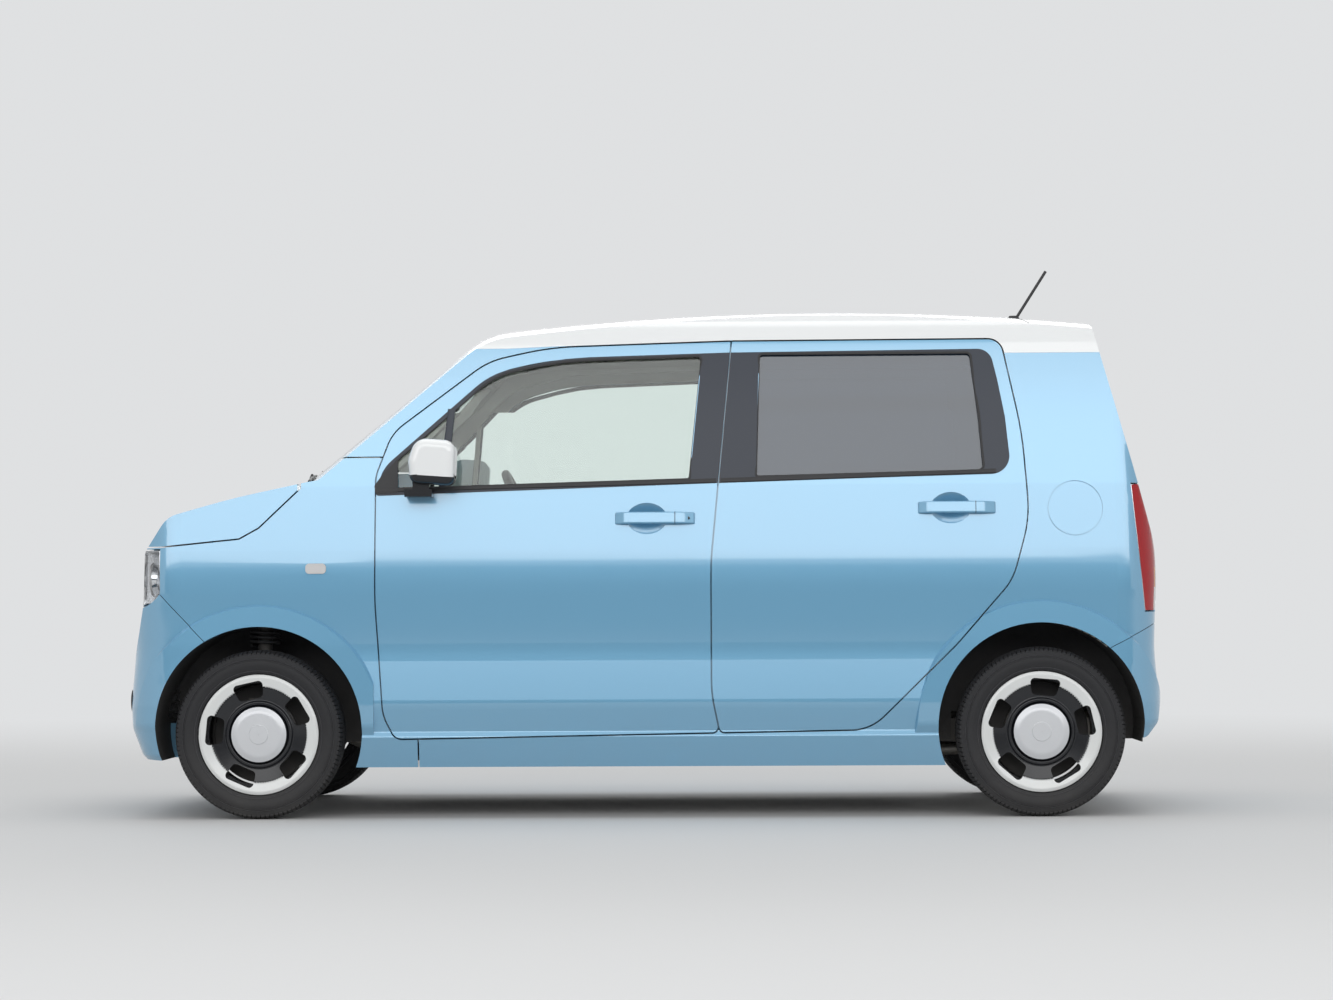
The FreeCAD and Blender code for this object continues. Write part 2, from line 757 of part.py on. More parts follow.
def headlamp_prism(grow):
    slack = SEAT_GAP if grow > 0 else 0.0
    return cross_prism(scaled_rows(HEADLAMP, grow), HEADLAMP_BACK_X - slack, 1800)


def tail_lamp_prism(grow):
    slack = SEAT_GAP if grow > 0 else 0.0
    behind = [(slack - 1560.0, 1200.0), (slack - 1634.0, 500.0), (-1800.0, 500.0), (-1800.0, 1200.0)]
    return cross_prism(scaled_rows(TAIL_LAMP, grow), -1800, -1500).common(side_prism(behind, 0, 900))


def fuel_lid_disc(radius, inner_y):
    x, z = FUEL_LID_AT
    return cylinder(radius, (x, inner_y, z), (x, 900, z))


def make_flanks(shell):
    """Front fenders, body sides with their door frames, and the fuel lid."""
    flank = shell.common(box(-1900, 1900, 540, 1000, 0, 1900))
    doors_clear = [grown_prism(rows, PANEL_GAP / 2, 500, 900) for rows in (FRONT_DOOR, REAR_DOOR)]
    roof_clear = clear_of(roof_region(), SEAT_GAP)
    hole, seat = screen_cuts()
    front_arch = arch_tunnel(FRONT_AXLE_X, ARCH_FRONT_Z, ARCH_FRONT_R)
    rear_arch = arch_tunnel(REAR_AXLE_X, ARCH_REAR_Z, ARCH_REAR_R)
    near = PANEL_GAP / 2

    fender_x = FENDER_REAR_X + near
    pillar_z = FENDER_PILLAR_Z - near
    room = [(fender_x, 100.0), (fender_x, pillar_z), (1110.0, pillar_z), (1110.0, 1300.0), (1900.0, 1300.0), (1900.0, 100.0)]
    fender = flank.common(side_prism(room, 600, 900))
    fender = fender.cut([doors_clear[0], clear_of(BONNET_SEAM), clear_of(FRONT_BUMPER_SEAM, SEAM)])
    fender = fender.cut([headlamp_prism(PANEL_GAP), front_arch, hole, seat])
    marker_seat = side_layer(-20.0, 8.0 + SEAT_GAP, 1000, 1100).common(grown_prism(MARKER, SEAT_GAP, 690, 780))
    add("front_fenders", both_sides(largest(fender.cut(marker_seat))))

    side_x = FENDER_REAR_X - near
    side_z = FENDER_PILLAR_Z + near
    side_room = [(side_x, 100.0), (side_x, side_z), (1200.0, side_z), (1200.0, 1900.0), (-1900.0, 1900.0), (-1900.0, 100.0)]
    side = flank.common(side_prism(side_room, 500, 900))
    side = side.cut(doors_clear + [roof_clear, clear_of(REAR_BUMPER_SEAM, SEAM), rear_arch, hole, seat])
    side = side.cut([tail_lamp_prism(PANEL_GAP), tailgate_prism(PANEL_GAP)])
    side = largest(side.fuse(door_frame(room, roof_clear, rear_arch)).removeSplitter())
    lid_seat = side_layer(-20, 4.3, -1500, -1290).common(fuel_lid_disc(FUEL_LID_R, 600))
    pocket = fuel_lid_disc(FUEL_LID_R - 10, 675)
    add("body_sides", Part.makeCompound([side.cut([lid_seat, pocket]), mirrored(side)]))
    add("fuel_lid", side_layer(0.0, 4.0, -1500, -1290).common(fuel_lid_disc(FUEL_LID_R - near, 600)))

    header = box(HEADER_X, 760, -HEADER_HALF, HEADER_HALF, 1470, ROOF_LINE[0][1] + 10)
    roof = shell.common(region_of(roof_region(), SEAT_GAP).fuse(header)).cut([hole, seat])
    roof = roof.cut(doors_clear + [mirrored(one) for one in doors_clear])
    add("roof_panel", largest(roof))


def screen_cuts():
    """The windscreen's hole, and the rebate that its glass lies in."""
    rebate = screen_prism(REBATE, -200, 200).common(screen_solid(-60.0))
    return screen_prism(0.0, -200, 200), rebate.cut(screen_solid(SCREEN_INSET + GLASS + SEAT_GAP))


def door_frame(fender_room, roof_clear, rear_arch):
    """The jamb round both door openings with the pillar between them."""
    frame = side_layer(SKIN + PANEL_GAP + 2, DOOR_DEPTH, -1400, 1000, 240, 1600)
    around = grown_prism(FRONT_DOOR, 12.0, 500, 900).fuse(grown_prism(REAR_DOOR, 12.0, 500, 900))
    inside = [grown_prism(rows, -JAMB, 500, 900) for rows in (FRONT_DOOR, REAR_DOOR)]
    fender_side = side_prism(fender_room, 500, 900).cut(grown_prism(FRONT_DOOR, PANEL_GAP / 2 - SEAT_GAP, 400, 1000))
    return largest(frame.common(around).cut(inside + [fender_side, roof_clear, rear_arch]))


def make_front(shell, outer):
    """Cowl, bonnet, front bumper, headlamps and grille."""
    hole, seat = screen_cuts()
    lamps_clear = [headlamp_prism(PANEL_GAP), mirrored(headlamp_prism(PANEL_GAP))]
    bonnet_clear = clear_of(BONNET_SEAM)
    half = COWL_HALF - SEAT_GAP
    cowl = shell.common(box(1100, COWL_FRONT_X, -half, half, 1000, 1300)).cut([hole, seat])
    add("cowl", largest(cowl))

    half = COWL_HALF + PANEL_GAP
    behind = [box(900, COWL_FRONT_X + PANEL_GAP, -half, half, 900, 1300), box(900, BONNET_REAR_X, -900, 900, 900, 1300)]
    bonnet = shell.common(region_of(BONNET_SEAM)).cut([hole, seat] + behind + lamps_clear)
    add("bonnet", largest(bonnet))

    tunnel = arch_tunnel(FRONT_AXLE_X, ARCH_FRONT_Z, ARCH_FRONT_R)
    nose = shell.common(region_of(FRONT_BUMPER_SEAM, SEAM)).cut([tunnel, mirrored(tunnel)])
    nose_top = shell.common(box(1500, 1800, -600, 600, 700, 874)).cut(bonnet_clear)
    nose = nose.fuse(nose_top).removeSplitter().cut(lamps_clear)
    nose = nose.cut([cross_prism(scaled_rows(GRILLE, SEAT_GAP), 1500, 1800), cross_prism(INTAKE, 1500, 1800)])
    fog_y, fog_z, fog_r, fog_x = FOG_POCKET
    for side in (1, -1):
        nose = nose.cut(cylinder(fog_r, (fog_x, side * fog_y, fog_z), (1800, side * fog_y, fog_z)))
    face_x, half, low, high, hole_z = PLATE_PAD_FRONT
    nose = nose.fuse(box(1600, face_x, -half, half, low, high)).removeSplitter()
    add("front_bumper", largest(nose.cut(plate_holes(face_x, -1, hole_z))))

    lamp = outer.common(headlamp_prism(0.0)).cut(bonnet_clear)
    add("headlamps", both_sides(largest(lamp)))
    add("grille", make_grille(outer))


def slatted(block, rows, border, bars):
    """A frame round the edge of a block's outline, with bars across it."""
    inner = cross_prism(scaled_rows(rows, -border), 1500, 1800)
    return fused([block.cut(inner)] + [block.common(bar) for bar in bars])


def make_grille(outer):
    """The upper grille between the headlamps and the lower one in the bumper."""
    upper = outer.common(cross_prism(GRILLE, GRILLE_BACK_X, 1800))
    slats = [box(GRILLE_BACK_X, 1622, -400, 400, 706 + 30 * index, 718 + 30 * index) for index in range(1, 5)]
    upper = slatted(upper, GRILLE, 14.0, slats)
    rows = scaled_rows(INTAKE, -SEAT_GAP)
    lower = cross_prism(rows, INTAKE_BACK_X, INTAKE_BACK_X + 46)
    slats = [box(INTAKE_BACK_X, INTAKE_BACK_X + 34, -470, 470, 300 + 31 * index - 5, 300 + 31 * index + 5) for index in range(1, 5)]
    ribs = [box(INTAKE_BACK_X, INTAKE_BACK_X + 22, 110 * index - 5, 110 * index + 5, 300, 455) for index in range(-3, 4)]
    return Part.makeCompound([upper, slatted(lower, rows, 12.0, slats + ribs)])


def plate_holes(x, way, z):
    """Two blind holes for a number plate, drilled inwards from a pad's face."""
    half = PLATE_HOLE_PITCH / 2
    return [cylinder(PLATE_HOLE_R, (x - way * 5, y, z), (x + way * PLATE_HOLE_DEPTH, y, z)) for y in (half, -half)]


def make_rear(shell):
    """Rear bumper, tail lamps, and the tailgate with its window and plate recess."""
    tunnel = arch_tunnel(REAR_AXLE_X, ARCH_REAR_Z, ARCH_REAR_R)
    tail = shell.common(region_of(REAR_BUMPER_SEAM, SEAM)).fuse(shell.common(box(-1800, -1600, -538, 538, 500, 617)))
    add("rear_bumper", largest(tail.removeSplitter().cut([tunnel, mirrored(tunnel)])))
    add("tail_lamps", both_sides(largest(shell.common(tail_lamp_prism(0.0)))))

    gate = shell.common(tailgate_prism(0.0))
    gate = gate.cut([clear_of(roof_region(), 2 * PANEL_GAP), clear_of(REAR_BUMPER_SEAM, 2 * PANEL_GAP)])
    depth = GLASS_INSET - 6
    glass_layer = rear_layer(depth, depth + GLASS)
    glass_seat = rear_layer(depth - 30, depth + GLASS + SEAT_GAP).common(cross_prism(scaled_rows(TAILGATE_WINDOW, REBATE), -1800, -1400))
    gate = gate.cut([cross_prism(TAILGATE_WINDOW, -1800, -1400), glass_seat, cross_prism(PLATE_RECESS, -1800, PLATE_RECESS_X)])
    hinge_top = ROOF_LINE[-1][1] - SEAT_GAP / 2 - SEAT_GAP
    face_x, half, low, high, hole_z = PLATE_PAD_REAR
    gate = fused([gate, box(face_x, -1640, -half, half, low, high)] + across_both(-1490, -1462, 350, 410, 1480, hinge_top))
    add("tailgate", largest(gate.cut(plate_holes(face_x, 1, hole_z))))
    add("tailgate_glass", glass_layer.common(cross_prism(scaled_rows(TAILGATE_WINDOW, REBATE - SEAT_GAP), -1800, -1400)))


def rear_layer(depth0, depth1):
    """The tail's surface between two depths."""
    return beyond_end(TAIL_PROFILE, REAR_END, depth1).cut(beyond_end(TAIL_PROFILE, REAR_END, depth0))


def make_windscreen(outer):
    """The bowed windscreen, set below the pillars' surface."""
    screen = screen_prism(REBATE - SEAT_GAP, -200, 200).common(screen_solid(SCREEN_INSET))
    add("windscreen", largest(screen.cut(screen_solid(SCREEN_INSET + GLASS)).common(outer)))


def hand_cup(handle):
    """The pocket for the fingers: an arc along the door, turned about an axis outside it."""
    cup_x, z = handle[3], handle[2]
    axis_out = (CUP_HALF_HIGH ** 2 + CUP_DEPTH ** 2) / (2 * CUP_DEPTH) - CUP_DEPTH
    deep_r = axis_out + CUP_DEPTH
    arc_r = (CUP_HALF_LONG ** 2 + CUP_DEPTH ** 2) / (2 * CUP_DEPTH)
    reach = math.sqrt(arc_r ** 2 - (arc_r - deep_r) ** 2)
    arc = Part.Arc(Vector(-reach, 0, 0), Vector(0, deep_r, 0), Vector(reach, 0, 0)).toShape()
    base = Part.LineSegment(Vector(reach, 0, 0), Vector(-reach, 0, 0)).toShape()
    spindle = Part.Face(Part.Wire([arc, base])).revolve(Vector(0, 0, 0), Vector(1, 0, 0), 360)
    lean = math.radians(flank_lean(z))
    spindle.translate(Vector(cup_x, flank_y(z) + axis_out * math.cos(lean), z + axis_out * math.sin(lean)))
    return spindle


def handle_bar(handle):
    """The pull: a rounded bar on two feet that stand off the door."""
    front_x, rear_x, z, _ = handle
    grip = HANDLE_PROUD - HANDLE_GRIP_T
    rows = [
        (front_x, -4.0, 0.0),
        (front_x - 2, 9.0, 8.0),
        (front_x - 34, HANDLE_PROUD, 40.0),
        (rear_x + 44, HANDLE_PROUD, 60.0),
        (rear_x + 2, 9.0, 8.0),
        (rear_x, -4.0, 0.0),
        (rear_x + HANDLE_REAR_FOOT, -4.0, 0.0),
        (rear_x + HANDLE_REAR_FOOT + 8, grip, 8.0),
        (front_x - HANDLE_FRONT_FOOT - 8, grip, 8.0),
        (front_x - HANDLE_FRONT_FOOT, -4.0, 0.0),
    ]
    bar = plan_prism(rows, -HANDLE_HALF_H, HANDLE_HALF_H)
    rims = [edge for edge in bar.Edges if edge.BoundBox.ZLength < 0.1 and edge.CenterOfMass.y > grip + 3]
    bar = bar.makeFillet(5.0, rims)
    bar.rotate(Vector(0, 0, 0), Vector(1, 0, 0), flank_lean(z))
    bar.translate(Vector(0, flank_y(z), z))
    return bar


def make_door(name, rows, window, bar, hinge_x, handle, band):
    """A door: skin with its window frame and hand cup, the deep box below the belt, glass and pull."""
    region = grown_prism(rows, -PANEL_GAP / 2, 500, 900)
    skin = side_layer(0.0, SKIN, -1400, 1000).common(region)
    if band:
        skin = skin.fuse(band.common(side_layer(-20.0, SKIN / 2, -1400, 1000)).common(region))
    inner_box = side_layer(SKIN - 1, DOOR_DEPTH - 2, -1400, 1000, 240, BELT_Z)
    inner_box = inner_box.common(grown_prism(rows, -30.0, 500, 900))
    opening = side_prism(window, 500, 900)
    if bar:
        opening = opening.cut(side_prism(bar, 500, 900))
    slot = side_layer(GLASS_INSET - SEAT_GAP, GLASS_INSET + GLASS + SEAT_GAP, -1400, 1000)
    slot = slot.common(grown_prism(window, 12.0, 500, 900))
    door = skin.fuse(inner_box).cut([opening, slot, hand_cup(handle)])
    jamb_side = grown_prism(rows, -JAMB - SEAT_GAP, 500, 900)
    hinges = [box(hinge_x - 60, hinge_x + 20, 660, 690, height - 35, height + 35) for height in DOOR_HINGE_HEIGHTS]
    door = largest(fused([door] + [hinge.common(jamb_side) for hinge in hinges]))
    glass = side_layer(GLASS_INSET, GLASS_INSET + GLASS, -1400, 1000)
    glass = largest(glass.common(grown_prism(window, 12.0 - SEAT_GAP, 500, 900)))
    pull = handle_bar(handle).cut(side_layer(-SEAT_GAP, SKIN, -1400, 1000))
    for kind, shape in (("door", door), ("glass", glass), ("handle", largest(pull))):
        add(name + "_" + kind + "_left", shape)
        add(name + "_" + kind + "_right", mirrored(shape))


def revolved(points, centre):
    """A ring from (place along the axle, radius, corner radius) points about a wheel's axis."""
    section = face(points, lambda p: Vector(centre[0], centre[1] + p.x, centre[2] + p.y))
    return section.revolve(Vector(*centre), Vector(0, 1, 0), 360)


def make_rim(centre, side, phase):
    """Barrel, disc with its windows, outer trim ring and centre cap of one wheel."""
    x, y, z = centre
    rim = revolved([(side * along, radius, corner) for along, radius, corner in RIM_ROWS], centre)
    plug = cylinder(HUB_BORE_R + 16, (x, y + side * 20, z), (x, y + side * 60, z))
    bore = cylinder(HUB_BORE_R, (x, y - side * 10, z), (x, y + side * 50, z))
    rim = rim.fuse(plug).cut(bore).removeSplitter()
    cutters = []
    for index in range(WHEEL_WINDOWS):
        window = face(RIM_WINDOW, lambda p: Vector(x + p.x, y + side * 25, z + p.y))
        window = window.extrude(Vector(0, side * 60, 0))
        window.rotate(Vector(*centre), Vector(0, 1, 0), -(phase - 90 + index * 360 / WHEEL_WINDOWS))
        cutters.append(window)
    return rim.cut(cutters)


def make_wheels():
    for end, x, phase in (("front", FRONT_AXLE_X, WINDOW_PHASE_FRONT), ("rear", REAR_AXLE_X, WINDOW_PHASE_REAR)):
        for hand, side in (("left", 1), ("right", -1)):
            centre = (x, side * HALF_TRACK, TYRE_R)
            add("tyre_" + end + "_" + hand, revolved(TYRE_ROWS, centre))
            add("rim_" + end + "_" + hand, make_rim(centre, side, phase))


def make_knuckles():
    """Front uprights with their stub axle, brake disc and strut."""
    x = FRONT_AXLE_X
    z = TYRE_R
    hub_y = HALF_TRACK
    strut_top = ARCH_FRONT_Z + math.sqrt(ARCH_FRONT_R ** 2 - STRUT_R ** 2) - SEAT_GAP
    disc = cylinder(BRAKE_R, (x, hub_y - 12, z), (x, hub_y + 2, z))
    stub = cylinder(STUB_R, (x, hub_y - 60, z), (x, hub_y + 48, z))
    hub = cylinder(62.0, (x, hub_y - 37, z), (x, hub_y - 11, z))
    upright = box(x - 45, x + 45, hub_y - 62, hub_y - 36, z - 105, z + 115)
    link = box(x - 32, x + 32, KINGPIN_Y - 20, hub_y - 37, ARM_TOP_Z + SEAT_GAP, ARM_TOP_Z + 28)
    clamp = box(x - 32, x + 32, KINGPIN_Y - 30, hub_y - 37, z + 60, z + 114)
    strut = cylinder(STRUT_R, (x, KINGPIN_Y, z + 61), (x, KINGPIN_Y, strut_top))
    knuckle = fused([disc, stub, upright, link, clamp, strut, hub])
    add("knuckle_left", knuckle)
    add("knuckle_right", mirrored(knuckle))


def make_rear_axle():
    """Torsion beam, trailing arms, drums and stub axles."""
    x = REAR_AXLE_X
    z = TYRE_R
    arm = side_prism(TRAILING_ARM, 345, 390)
    carrier = cylinder(38.0, (x, 350, z), (x, 565, z))
    drum = cylinder(BRAKE_R, (x, 560, z), (x, HALF_TRACK - 6, z))
    stub = cylinder(STUB_R, (x, 560, z), (x, HALF_TRACK + 48, z))
    spring = cylinder(SPRING_R, (BEAM_X, SPRING_Y, 300), (BEAM_X, SPRING_Y, BOOT_FLOOR_Z - SEAT_GAP))
    half = [arm, carrier, drum, stub, spring]
    beam = box(BEAM_X - 35, BEAM_X + 35, -370, 370, 235, 305)
    add("rear_axle", fused([beam] + half + [mirrored(piece) for piece in half]))


def make_floor():
    """Floor, firewall and raised boot floor, with the front rails and the panel across them."""
    back = BOOT_REAR_X + SEAT_GAP
    low = [(830.0, FLOOR_Z), (-500.0, FLOOR_Z), (-560.0, REAR_FLOOR_Z), (-880.0, REAR_FLOOR_Z), (-960.0, BOOT_FLOOR_Z), (back, BOOT_FLOOR_Z)]
    shifts = (0.0, 8.0, 8.0, -6.0, -6.0, 0.0)
    high = [(x + shift, z + FLOOR_T) for (x, z), shift in zip(low, shifts)]
    floor = side_prism(low + high[::-1], -FLOOR_HALF, FLOOR_HALF)
    firewall = box(FIREWALL_X[0], FIREWALL_X[1], -FLOOR_HALF, FLOOR_HALF, FLOOR_Z, SHELF_Z[1])
    shelf = box(FIREWALL_X[0], 1100, -FLOOR_HALF, FLOOR_HALF, SHELF_Z[0], SHELF_Z[1])
    beside = side_layer(-20.0, DOOR_DEPTH + PANEL_GAP, -1700, 1200, 230.0, 1200.0)
    pan = fused([floor, firewall, shelf]).cut(liner_room() + [beside, mirrored(beside)])
    add("floor_pan", largest(pan))

    front = BAY_FRONT_X - SEAT_GAP
    pieces = [box(1520, front, -560, 560, 300, 480), box(1520, front, -600, 600, 800, 846)]
    pieces += across_both(1520, front, 400, 420, 470, 810)
    pieces += across_both(FIREWALL_X[1] + SEAT_GAP, BAY_FRONT_X, RAIL_Y[0], RAIL_Y[1], 330, 430)
    lowered = engine_space()
    lowered.translate(Vector(-SEAT_GAP, 0, -SEAT_GAP))
    pieces.append(box(1490, 1530, -30, 30, 820, 960).common(lowered))
    add("front_frame", largest(fused(pieces).cut(liner_room())))


def liner_room():
    """The room that the four wheel liners take, with their seating gap."""
    slack = LINER_T + SEAT_GAP
    room = []
    for x, z, radius in ((FRONT_AXLE_X, ARCH_FRONT_Z, ARCH_FRONT_R), (REAR_AXLE_X, ARCH_REAR_Z, ARCH_REAR_R)):
        tub = cylinder(radius + slack, (x, ARCH_INNER_Y - slack, z), (x, 900, z))
        room += [tub, mirrored(tub)]
    return room


def make_liners():
    """Tubs over the wheels, each an arched shell closed on its inner side."""
    front_ends = (FIREWALL_X[1] + SEAT_GAP, BAY_FRONT_X - SEAT_GAP)
    for name, x, z, radius, outer_y, ends in (
        ("wheel_liners_front", FRONT_AXLE_X, ARCH_FRONT_Z, ARCH_FRONT_R, ENGINE_BAY_HALF - SEAT_GAP, front_ends),
        ("wheel_liners_rear", REAR_AXLE_X, ARCH_REAR_Z, ARCH_REAR_R, FLOOR_HALF, (-1611.0, -900.0)),
    ):
        tub = cylinder(radius + LINER_T, (x, ARCH_INNER_Y - LINER_T, z), (x, outer_y, z))
        tub = tub.common(box(ends[0], ends[1], 0, 900, LINER_LOW_Z, 1000))
        tub = tub.cut(cylinder(radius, (x, ARCH_INNER_Y, z), (x, 900, z)))
        if x < 0:
            tub = tub.cut(box(-1530, -1010, 300, ARCH_INNER_Y, 0, LINER_WALL_LOW_Z))
        add(name, both_sides(largest(tub)))


def make_interior():
    """Dashboard, seats, steering column and wheel."""
    add("dashboard", side_prism(DASHBOARD, -DASHBOARD_HALF, DASHBOARD_HALF))
    base = box(-140, 220, -200, 200, FLOOR_Z + FLOOR_T + SEAT_GAP, 385)
    seat = fused([side_prism(SEAT_CUSHION, -SEAT_HALF, SEAT_HALF), side_prism(SEAT_HEAD, -HEADREST_HALF, HEADREST_HALF), base])
    seat.translate(Vector(0, SEAT_Y, 0))
    add("front_seats", both_sides(seat))
    add("rear_seat", side_prism(REAR_BENCH, -BENCH_HALF, BENCH_HALF))

    tilt = math.radians(STEER_COLUMN_TILT)
    at = Vector(*STEER_WHEEL_AT)
    toward = Vector(-math.cos(tilt), 0, math.sin(tilt))
    column = Part.makeCylinder(28, 220, at - toward * 240, toward)
    dash_clear = [(x, z + (10.0 if index == len(DASHBOARD) - 1 else 0.0), r) for index, (x, z, r) in enumerate(DASHBOARD)]
    add("steering_column", column.cut(side_prism(dash_clear, -640, 640)))
    ring = Part.makeTorus(STEER_WHEEL_R, STEER_RIM_T, at, toward)
    hub = Part.makeCylinder(STEER_HUB_R, 34, at - toward * 19.7, toward)
    across = Vector(0, 1, 0)
    up = toward.cross(across)
    spokes = []
    for angle in STEER_SPOKES:
        way = across * math.cos(math.radians(angle)) + up * math.sin(math.radians(angle))
        spokes.append(Part.makeCylinder(12, STEER_WHEEL_R, at, way))
    add("steering_wheel", fused([ring, hub] + spokes))


def make_underbody():
    """Engine block, radiator, exhaust, fuel tank and front suspension."""
    add("engine_block", rounded_box(*ENGINE_BLOCK, 30))
    add("radiator", box(*RADIATOR))
    add("fuel_tank", rounded_box(*FUEL_TANK, 25))

    path = [Vector(*point) for point in EXHAUST_PATH]
    pipes = []
    for start, end in zip(path[:-1], path[1:]):
        pipes.append(Part.makeCylinder(EXHAUST_R, (end - start).Length, start, end - start))
        pipes.append(Part.makeSphere(EXHAUST_R, end))
    pipes.append(rounded_box(*SILENCER, 45))
    pipes.append(Part.makeCylinder(EXHAUST_R, 66, Vector(-1540, 250, 275), Vector(-1, 0, -0.1)))
    add("exhaust", fused(pipes))

    arm = plan_prism(FRONT_ARM, 172, ARM_TOP_Z)
    posts = across_both(1200, 1280, 330, 370, 180, 330 - SEAT_GAP)
    feet = across_both(1160, 1320, 290, 370, 190, 230)
    cross = box(1150, 1330, -300, 300, 170, 230)
    rack_seat = box(1100, 1160, -200, 200, 200, 262)
    rack = cylinder(RACK_R, (RACK_X, -390, 262), (RACK_X, 390, 262))
    add("front_subframe", fused([cross, arm, mirrored(arm), rack_seat, rack] + posts + feet))


def make_trim():
    """Mirrors, side markers and aerial."""
    cover = side_prism(MIRROR_COVER, MIRROR_Y[0], MIRROR_Y[1])
    outer_rim = [edge for edge in cover.Edges if edge.BoundBox.YLength < 1 and edge.CenterOfMass.y > 800]
    cover = cover.makeFillet(26, outer_rim)
    glass_recess = [(766.0, 1090.0, 12.0), (836.0, 1090.0, 26.0), (832.0, 1196.0, 28.0), (766.0, 1196.0, 12.0)]
    cover = cover.cut(cross_prism(glass_recess, 560, MIRROR_COVER[2][0] + MIRROR_GLASS_DEPTH))
    arm = box(672, 760, 690, 806, 1034, 1058).fuse(box(680, 734, 770, 806, 1040, 1100))
    arm = arm.cut(side_layer(-SEAT_GAP, 400, 500, 900))
    mirror = largest(cover.fuse(arm).removeSplitter())
    add("mirror_left", mirror)
    add("mirror_right", mirrored(mirror))

    add("turn_markers", both_sides(side_layer(-5.0, 8.0, 1000, 1100).common(grown_prism(MARKER, 0.0, 690, 780))))
    mast = Vector(-107, 0, 168)
    aerial = Part.makeCylinder(5, mast.Length, Vector(-1266, 0, 1655), mast)
    base = Part.makeCone(24, 16, 20, Vector(-1262, 0, 1650))
    add("aerial", fused([aerial, base]).cut(roof_dome().common(box(-1500, -1000, -200, 200, 1000, 1900))))


def main():
    bands = flares()
    outer = body_outer(bands)
    shell = outer.cut(cabin_space().fuse(engine_space()))
    make_flanks(shell)
    make_front(shell, outer)
    make_rear(shell)
    make_windscreen(outer)
    make_door("front", FRONT_DOOR, FRONT_WINDOW, QUARTER_BAR, FRONT_DOOR_HINGE_X, FRONT_HANDLE, None)
    make_door("rear", REAR_DOOR, REAR_WINDOW, None, REAR_DOOR_HINGE_X, REAR_HANDLE, bands[1])
    make_wheels()
    make_knuckles()
    make_rear_axle()
    make_floor()
    make_liners()
    make_interior()
    make_underbody()
    make_trim()
    os.makedirs("parts", exist_ok=True)
    for name, shape in nodes.items():
        shape.exportStep(os.path.join("parts", name + ".step"))
        print(name, shape.isValid(), len(shape.Solids), len(shape.Faces))


if __name__ == "__main__":
    main()
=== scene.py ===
"""Kei car: a small five-door hatchback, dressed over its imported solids.

All sizes are in metres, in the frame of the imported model: +X forward, +Y to the
car's left, +Z up. Pieces are built for the left side and mirrored for the right.
"""
import math

import bmesh
import bpy
from bpy.props import FloatProperty, FloatVectorProperty, PointerProperty
from mathutils import Matrix, Vector
from mathutils.bvhtree import BVHTree


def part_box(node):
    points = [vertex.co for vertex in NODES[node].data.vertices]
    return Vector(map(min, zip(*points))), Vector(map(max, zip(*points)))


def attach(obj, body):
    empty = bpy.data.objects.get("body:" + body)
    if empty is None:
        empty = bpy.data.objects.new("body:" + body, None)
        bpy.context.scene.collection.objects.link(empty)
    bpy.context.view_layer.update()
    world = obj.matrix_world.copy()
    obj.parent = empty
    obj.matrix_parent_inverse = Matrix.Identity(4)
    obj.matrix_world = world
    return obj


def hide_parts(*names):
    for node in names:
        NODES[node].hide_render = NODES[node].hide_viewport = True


bl_info = {
    "name": "Kei car",
    "version": (1, 0, 0),
    "blender": (4, 5, 0),
    "location": "3D View > Sidebar > Kei car",
    "description": "Dresses the packed kei car with paint, glass, trim, lamps, tyres and a cabin",
    "category": "Object",
}

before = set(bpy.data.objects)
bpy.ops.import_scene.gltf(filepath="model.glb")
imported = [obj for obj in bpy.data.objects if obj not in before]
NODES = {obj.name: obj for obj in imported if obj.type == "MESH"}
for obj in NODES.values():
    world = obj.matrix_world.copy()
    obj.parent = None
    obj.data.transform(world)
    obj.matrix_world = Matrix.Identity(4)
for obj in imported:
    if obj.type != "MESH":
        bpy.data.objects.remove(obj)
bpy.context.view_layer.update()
SIDES = (("left", 1), ("right", -1))
DARK = "Dark cabin plastic"
CREAM = "Cream plastic"
ARC_STEP = math.radians(7)
SMOOTH_UP_TO = math.radians(35)

# The photograph: size and focal length in pixels, and where the level line of sight
# square to the car's side meets the picture
PHOTO_W = 1333
PHOTO_H = 1000
PHOTO_FOCAL = 3386.0
PHOTO_SQUARE = (719.6, 604.0)
PHOTO_ROLL = 0.00473
CAMERA_AT = Vector((-0.249, 11.623, 0.687))
SENSOR = 36.0

# Side-view outlines of the dark window surrounds and the panes: x, z, corner radius
FRONT_SURROUND = [
    (0.868, 1.040, 0.012),
    (-0.2432, 1.0765, 0.002),
    (-0.2845, 1.504, 0.002),
    (0.250, 1.489, 0.900),
    (0.490, 1.440, 0.250),
    (0.835, 1.134, 0.120),
]
REAR_SURROUND = [
    (-0.2470, 1.0765, 0.002),
    (-0.840, 1.094, 0.900),
    (-1.188, 1.103, 0.060),
    (-1.178, 1.290, 1.500),
    (-1.128, 1.512, 0.050),
    (-0.2884, 1.504, 0.002),
]
FRONT_PANE = [
    (0.848, 1.061, 0.012),
    (-0.153, 1.089, 0.010),
    (-0.194, 1.494, 0.014),
    (0.260, 1.479, 0.900),
    (0.478, 1.434, 0.250),
    (0.800, 1.150, 0.120),
]
REAR_PANE = [
    (-0.366, 1.096, 0.010),
    (-1.103, 1.113, 0.020),
    (-1.090, 1.290, 1.200),
    (-1.066, 1.500, 0.016),
    (-0.379, 1.499, 0.014),
]
QUARTER_BAR = ((0.6185, 1.322), (0.6475, 1.058))

# Where along the car the flank's section is read, and the height of a band that follows it
FLANK_X = -0.320
FLANK_BAND = 0.02


